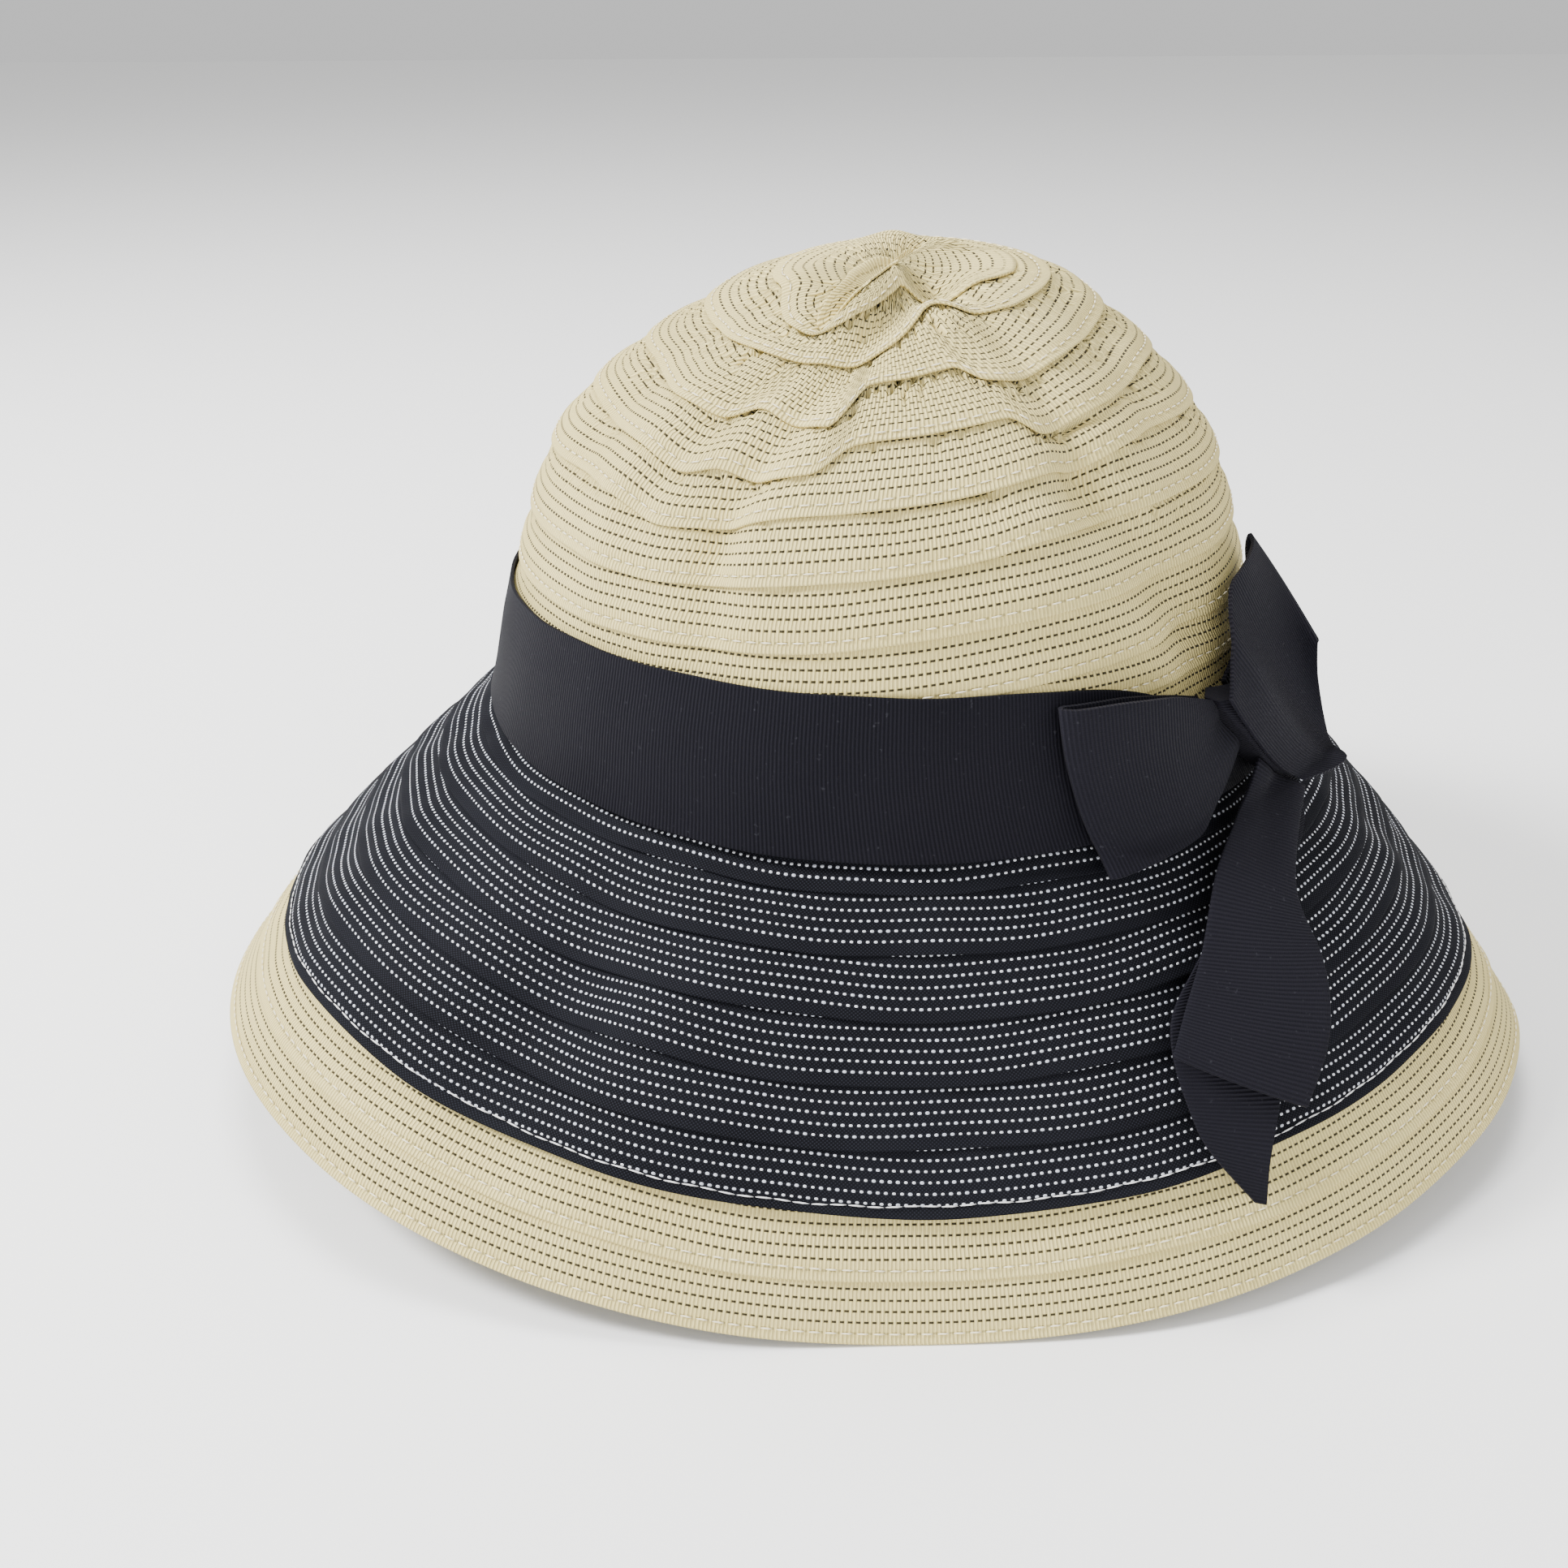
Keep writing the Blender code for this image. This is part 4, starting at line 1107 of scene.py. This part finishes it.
def stitch_line(bm, angles, downs, off, pitch, width, long_share):
    """Small rounded stitches laid end to end along a line on the cloth."""
    places = CLOTH.lay(angles, downs, np.full_like(angles, off))
    run = run_along(places)
    for k in range(int(run[-1] / pitch)):
        middle = (k + 0.5) * pitch
        spots = [np.array([np.interp(middle + side * 0.5 * pitch * long_share, run, places[:, axis])
                           for axis in range(3)]) for side in (-1.0, 0.0, 1.0)]
        near = np.searchsorted(run, middle)
        out = CLOTH.at(angles[near:near + 1], downs[near:near + 1])[1][0]
        forward = unit(spots[2] - spots[0])
        side = np.cross(out, forward)
        half = np.linalg.norm(spots[2] - spots[0]) / 2.0
        turn = Matrix((forward * half, side * width / 2.0, out * width / 2.0)).transposed().to_4x4()
        bmesh.ops.create_icosphere(bm, subdivisions=1, radius=1.0,
                                   matrix=Matrix.Translation(spots[1] + out * width * STITCH_PROUD) @ turn)


def net_area(bm):
    """Area of the cloth before it gets its thickness."""
    return sum(face.calc_area() for face in bm.faces)


def ride(piece, slot, *nodes):
    """Join a piece to the hat's body and hide the solids that it stands in for. The slot is not used."""
    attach(piece, "root")
    if nodes:
        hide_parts(*nodes)


class HAT_OT_crown(bpy.types.Operator):
    """Sew the crown's spiral and its stitches"""

    bl_idname = "hat.crown"
    bl_label = "Crown"

    def execute(self, context):
        look, sewing = context.scene.hat_look, context.scene.hat_sewing
        cloth = natural_ribbon(look)
        net = crown_net(sewing)
        area = net_area(net)
        piece = solid_piece(net, "crown_ribbon", cloth, SHEET_THICK)
        ride(piece, "natural_ribbon", "crown")
        bm = bmesh.new()
        turn = np.arange(CROWN_STITCH_FROM, len(LAP_COLUMNS) - CROWN_STITCH_SHORT, CROWN_STITCH_STEP)
        reach = lap_reach(turn) - NATURAL_FIRST_ROW * MM / CLOTH.length
        angle, down = crown_place(-360.0 * turn, reach)
        stitch_line(bm, angle, down, sewing.lap_height, sewing.stitch_pitch, sewing.stitch_width,
                    CROWN_STITCH_LENGTH)
        thread = sewing_thread("natural_thread", look.natural_thread, look.thread_shade)
        threads = solid_piece(bm, "crown_stitches", thread, 0.0)
        ride(threads, "natural_ribbon")
        return {"FINISHED"}


class HAT_OT_brim(bpy.types.Operator):
    """Sew the brim's navy rounds and the white thread at their lower edge"""

    bl_idname = "hat.brim"
    bl_label = "Brim"

    def execute(self, context):
        look, sewing = context.scene.hat_look, context.scene.hat_sewing
        nets = []
        low = EDGE_TOP
        while low > LEAST_ROUND:
            high = low - ROUND_WIDTH
            top = high - OVERLAP
            if high <= LEAST_ROUND:
                high, top = 0.0, -COLLAR
            nets.append(ring_net(low, high, top, -BRIM_DEPTH, sewing.lap_height))
            low -= ROUND_WIDTH
        net = gather_up(nets)
        area = net_area(net)
        piece = solid_piece(net, "brim_rounds", navy_ribbon(look), SHEET_THICK)
        ride(piece, "navy_ribbon", "brim")
        bm = bmesh.new()
        down = EDGE_TOP - WHITE_STITCH_ROW + waves(np.radians(STITCH_TRACK), WHITE_STITCH_SWAY)
        stitch_line(bm, STITCH_TRACK, down, -BRIM_DEPTH + sewing.lap_height,
                    sewing.stitch_pitch * WHITE_STITCH_PITCH, sewing.stitch_width, WHITE_STITCH_LENGTH)
        thread = sewing_thread("white_thread", look.white_thread, look.thread_shade)
        threads = solid_piece(bm, "brim_stitches", thread, 0.0)
        ride(threads, "navy_ribbon")
        return {"FINISHED"}


class HAT_OT_brim_edge(bpy.types.Operator):
    """Sew the two natural rounds at the rim"""

    bl_idname = "hat.brim_edge"
    bl_label = "Brim Edge"

    def execute(self, context):
        sewing = context.scene.hat_sewing
        middle = BRIM_WIDTH - EDGE_WIDTH / 2.0
        lift = sewing.lap_height * EDGE_LIFT_SHARE
        rest = EDGE_WALL - SHEET_THICK - GAP
        nets = [ring_net(middle, EDGE_TOP, EDGE_TOP - OVERLAP, -EDGE_DEPTH, lift),
                ring_net(BRIM_WIDTH, middle, middle - OVERLAP, -EDGE_DEPTH, 0.0, rest, 0.0)]
        net = gather_up(nets)
        area = net_area(net)
        piece = solid_piece(net, "edge_rounds", bpy.data.materials["natural_ribbon_look"], SHEET_THICK)
        ride(piece, "natural_ribbon", "brim_edge")
        bm = bmesh.new()
        for low, off in ((middle, lift), (BRIM_WIDTH, -rest * EDGE_LIFT_SHARE)):
            down = np.full_like(STITCH_TRACK, low - NATURAL_FIRST_ROW * MM)
            stitch_line(bm, STITCH_TRACK, down, -EDGE_DEPTH + off, sewing.stitch_pitch,
                        sewing.stitch_width, EDGE_STITCH_LENGTH)
        threads = solid_piece(bm, "edge_stitches", bpy.data.materials["natural_thread"], 0.0)
        ride(threads, "natural_ribbon")
        return {"FINISHED"}


class HAT_OT_band(bpy.types.Operator):
    """Lay the black ribbon round the foot of the crown"""

    bl_idname = "hat.band"
    bl_label = "Band"

    def execute(self, context):
        cloth = black_ribbon(context.scene.hat_look, "black_band_look", BAND_RIB_DEPTH, 0.0)
        wide, share = np.meshgrid(turn_angles(BAND_COLUMNS), BAND_ROWS, indexing="ij")
        swing = np.radians(wide)
        away = turn_between(wide, BAND_DRAWN_AT) / BAND_DRAWN_SPREAD
        drawn = BAND_NARROWER + BAND_DRAWN * np.exp(-away * away)
        down = waves(swing, BAND_EDGE) - BAND_FOOT - RIBBON_WIDTH * share * (1.0 - drawn)
        off = BAND_OFF - BAND_SINK + waves(swing, BAND_RIPPLE, share) + BAND_BELLY * np.sin(np.pi * share)
        places = CLOTH.lay_net(wide, down, off)
        run = run_along(places[:, len(BAND_ROWS) // 2])
        bm = ribbon_net(places, run * whole_pitches(run[-1], BLACK_RIB_PITCH * MM), share * RIBBON_WIDTH)
        area = net_area(bm)
        piece = solid_piece(bm, "band_ribbon", cloth, BAND_THICK, bevel=RIBBON_BEVEL)
        ride(piece, "black_ribbon", "hat_band")
        return {"FINISHED"}


# Bow

def bow_places(angle, down, off):
    """Places of the bow's ribbons: off the band, level at the band and square to the brim below."""
    turned = smooth_rise((down - BOW_TURN_STARTS) / BOW_TURN)[:, None]
    square = CLOTH.at(angle, np.maximum(down, NORMAL_BLEND))[1]
    way = unit(outward(angle) * (1.0 - turned) + square * turned)
    return CLOTH.lay(angle, down, np.full_like(off, BAND_OFF)) + off[:, None] * way


def knot_face(down):
    """Angle of the knot's front face, which leans back as it comes down."""
    return BOW_ANGLE + turn_of(KNOT_SLANT) * (down / RIBBON_WIDTH + 0.5)


def bow_net(table, reach, length, start, way, steps, pleats):
    """Strip of ribbon through the sections of a table."""
    station = np.arange((len(table) - 1) * steps + 1) / steps
    at = {name: curve(np.arange(len(table)), column_of(table, BOW_COLUMNS, name), station)[:, None]
          for name in BOW_COLUMNS}
    share = np.arange(BOW_ACROSS + 1)[None] / BOW_ACROSS
    out, down, off = (at["first_" + name] * (1.0 - share) + at["other_" + name] * share
                      for name in ("out", "down", "off"))
    down = length * down
    off = RIBBON_WIDTH * off + pleats(station[:, None], share)
    angle = knot_face(down) + turn_of(start + way * (ROOT_GAP + out * reach))
    places = bow_places(angle.ravel(), down.ravel(), off.ravel()).reshape(angle.shape + (3,))
    return ribbon_net(places, run_along(places[:, BOW_ACROSS // 2]), share * RIBBON_WIDTH)


def no_pleats(station, share):
    """A ribbon that lies smooth."""
    return 0.0 * station * share


def loop_pleats(station, share):
    """Pleats that spread from the knot."""
    return LOOP_PLEAT * np.exp(-station / LOOP_PLEAT_FADE) * np.sin(share * math.pi * PLEATS + PLEAT_START)


def tail_pleats(station, share):
    """Soft lengthways pleats that start under the knot and fade."""
    fade = 1.0 - smooth_rise(station / TAIL_PLEAT_FADE)
    return TAIL_PLEAT * fade * np.sin(share * math.pi * PLEATS)


class HAT_OT_bow(bpy.types.Operator):
    """Tie the bow from its knot, loops and tails"""

    bl_idname = "hat.bow"
    bl_label = "Bow"

    def execute(self, context):
        look, sewing = context.scene.hat_look, context.scene.hat_sewing
        cloth = black_ribbon(look, "black_bow_look", BOW_RIB_DEPTH, BOW_PAINTED_LIGHT)
        parts = (
            ("bow_front_ribbon", "bow_loop_front", "folded", FRONT_LOOP,
             FRONT_LOOP_REACH, RIBBON_WIDTH, 0.0, -1.0, loop_pleats),
            ("bow_back_ribbon", "bow_loop_back", "folded", BACK_LOOP,
             BACK_LOOP_REACH, RIBBON_WIDTH, KNOT_WIDTH, 1.0, no_pleats),
            ("tail_upper_ribbon", "bow_tail_upper", "hung", UPPER_TAIL,
             UPPER_TAIL_REACH, UPPER_TAIL_REACH, 0.0, -1.0, tail_pleats),
            ("tail_under_ribbon", "bow_tail_under", "hung", UNDER_TAIL,
             UNDER_TAIL_REACH, UNDER_TAIL_REACH, 0.0, -1.0, no_pleats),
        )
        for name, node, held, table, reach, length, start, way, pleats in parts:
            bm = bow_net(table, reach, length, start, way, sewing.bow_steps, pleats)
            area = net_area(bm)
            piece = solid_piece(bm, name, cloth, BOW_THICK, 0.0, RIBBON_BEVEL)
            ride(piece, "black_ribbon", node)
        bm = bmesh.new()
        bm.loops.layers.uv.new("ribbon")
        bmesh.ops.create_cube(bm, size=2.0)
        bmesh.ops.subdivide_edges(bm, edges=bm.edges, cuts=KNOT_CUTS, use_grid_fill=True)
        layer = bm.loops.layers.uv.active
        for face in bm.faces:
            for loop in face.loops:
                across, along, _ = loop.vert.co
                loop[layer].uv = (RIBBON_WIDTH * along / 2.0 / MM, KNOT_WIDTH * across / MM)
        depth = SEAM_OFF * RIBBON_WIDTH - RIBBON_THICK / 2.0 - GAP
        side, end, rise = np.array([vertex.co for vertex in bm.verts]).T
        down = RIBBON_WIDTH * (KNOT_TOP + (KNOT_FOOT - KNOT_TOP) * (end + 1.0) / 2.0)
        corner = np.sqrt(np.maximum(side * side + end * end - 1.0, 0.0))
        off = GAP + (depth - GAP) * (rise + 1.0) / 2.0 - rise * KNOT_ROUNDING * corner
        places = bow_places(knot_face(down) + turn_of(KNOT_WIDTH) * (side + 1.0) / 2.0, down, off)
        for vertex, place in zip(bm.verts, places):
            vertex.co = place
        piece = solid_piece(bm, "knot_ribbon", cloth, 0.0)
        ride(piece, "black_ribbon", "bow_knot")
        return {"FINISHED"}


# Stage

FLOOR_HALF = 3.0
WORLD_STRENGTH = 0.72
LIGHT_TARGET = (0.0, 0.0, 0.09)
# Name, place, width and power of each light
LIGHTS = (
    ("Key", (-0.95, -0.20, 1.00), 0.35, 38.0),
    ("Fill", (0.9, -0.4, 0.7), 0.8, 3.0),
    ("Top", (-0.1, 0.35, 1.4), 0.6, 20.0),
    ("Front", (0.15, -1.1, 0.45), 0.7, 6.0),
)
# Camera: focal length as a share of the picture's width, place from the head opening's centre at
# the head line, and how far it looks down and is turned
CAMERA_FOCUS = 2170.0 / 1932.0
CAMERA_SENSOR = 36.0
CAMERA_PLACE = (-0.02467, -0.40003, 0.16821)
CAMERA_PITCH = 0.46345
CAMERA_ROLL = -0.005535
CAMERA_NEAR = 0.01


class HAT_OT_stage(bpy.types.Operator):
    """Set the pale floor, the soft lights and the camera"""

    bl_idname = "hat.stage"
    bl_label = "Stage"

    def execute(self, context):
        scene = context.scene
        bm = bmesh.new()
        bmesh.ops.create_grid(bm, x_segments=2, y_segments=2, size=FLOOR_HALF)
        floor = solid_piece(bm, "floor", plain_stage("floor_look", scene.hat_look.floor), 0.0)
        world = bpy.data.worlds.new("Soft room")
        world.use_nodes = True
        background = world.node_tree.nodes["Background"]
        background.inputs["Color"].default_value = (1.0, 1.0, 1.0, 1.0)
        background.inputs["Strength"].default_value = WORLD_STRENGTH
        scene.world = world
        for name, place, size, power in LIGHTS:
            light = bpy.data.lights.new(name, "AREA")
            light.size = size
            light.energy = power
            lamp = bpy.data.objects.new(name, light)
            lamp.location = place
            lamp.rotation_euler = (Vector(LIGHT_TARGET) - Vector(place)).to_track_quat("-Z", "Y").to_euler()
            scene.collection.objects.link(lamp)
        camera = bpy.data.cameras.new("Camera")
        camera.sensor_width = CAMERA_SENSOR
        camera.lens = CAMERA_FOCUS * CAMERA_SENSOR
        camera.clip_start = CAMERA_NEAR
        forward = Vector((0.0, math.cos(CAMERA_PITCH), -math.sin(CAMERA_PITCH)))
        right = Vector((1.0, 0.0, 0.0))
        up = right.cross(forward)
        turned_right = right * math.cos(CAMERA_ROLL) + up * math.sin(CAMERA_ROLL)
        turned_up = up * math.cos(CAMERA_ROLL) - right * math.sin(CAMERA_ROLL)
        turn = Matrix((turned_right, turned_up, -forward)).transposed().to_4x4()
        place = Vector(CAMERA_PLACE) + Vector((0.0, 0.0, HEAD_LINE_HEIGHT)) - Vector(CLOTH.centre)
        view = bpy.data.objects.new("Camera", camera)
        view.matrix_world = Matrix.Translation(place) @ turn
        scene.collection.objects.link(view)
        scene.camera = view
        return {"FINISHED"}


class HAT_PT_panel(bpy.types.Panel):
    """Lists the hat's pieces and sizes"""

    bl_idname = "HAT_PT_panel"
    bl_label = "Ribbon Sun Hat"
    bl_space_type = "VIEW_3D"
    bl_region_type = "UI"
    bl_category = "Hat"

    def draw(self, context):
        layout = self.layout
        for group in (context.scene.hat_sewing, context.scene.hat_look):
            for name in group.__annotations__:
                layout.prop(group, name)
        for operator in OPERATORS:
            layout.operator(operator.bl_idname)


OPERATORS = (HAT_OT_crown, HAT_OT_brim, HAT_OT_brim_edge, HAT_OT_band, HAT_OT_bow, HAT_OT_stage)
CLASSES = (HatLook, HatSewing) + OPERATORS + (HAT_PT_panel,)


def register():
    """Add the hat's classes and settings."""
    for item in CLASSES:
        bpy.utils.register_class(item)
    bpy.types.Scene.hat_look = PointerProperty(type=HatLook)
    bpy.types.Scene.hat_sewing = PointerProperty(type=HatSewing)


def unregister():
    """Take the hat's classes and settings away."""
    del bpy.types.Scene.hat_sewing
    del bpy.types.Scene.hat_look
    for item in reversed(CLASSES):
        bpy.utils.unregister_class(item)


def main():
    """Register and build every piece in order."""
    register()
    bpy.ops.hat.crown()
    bpy.ops.hat.brim()
    bpy.ops.hat.brim_edge()
    bpy.ops.hat.band()
    bpy.ops.hat.bow()
    bpy.ops.hat.stage()


if __name__ == "__main__":
    main()
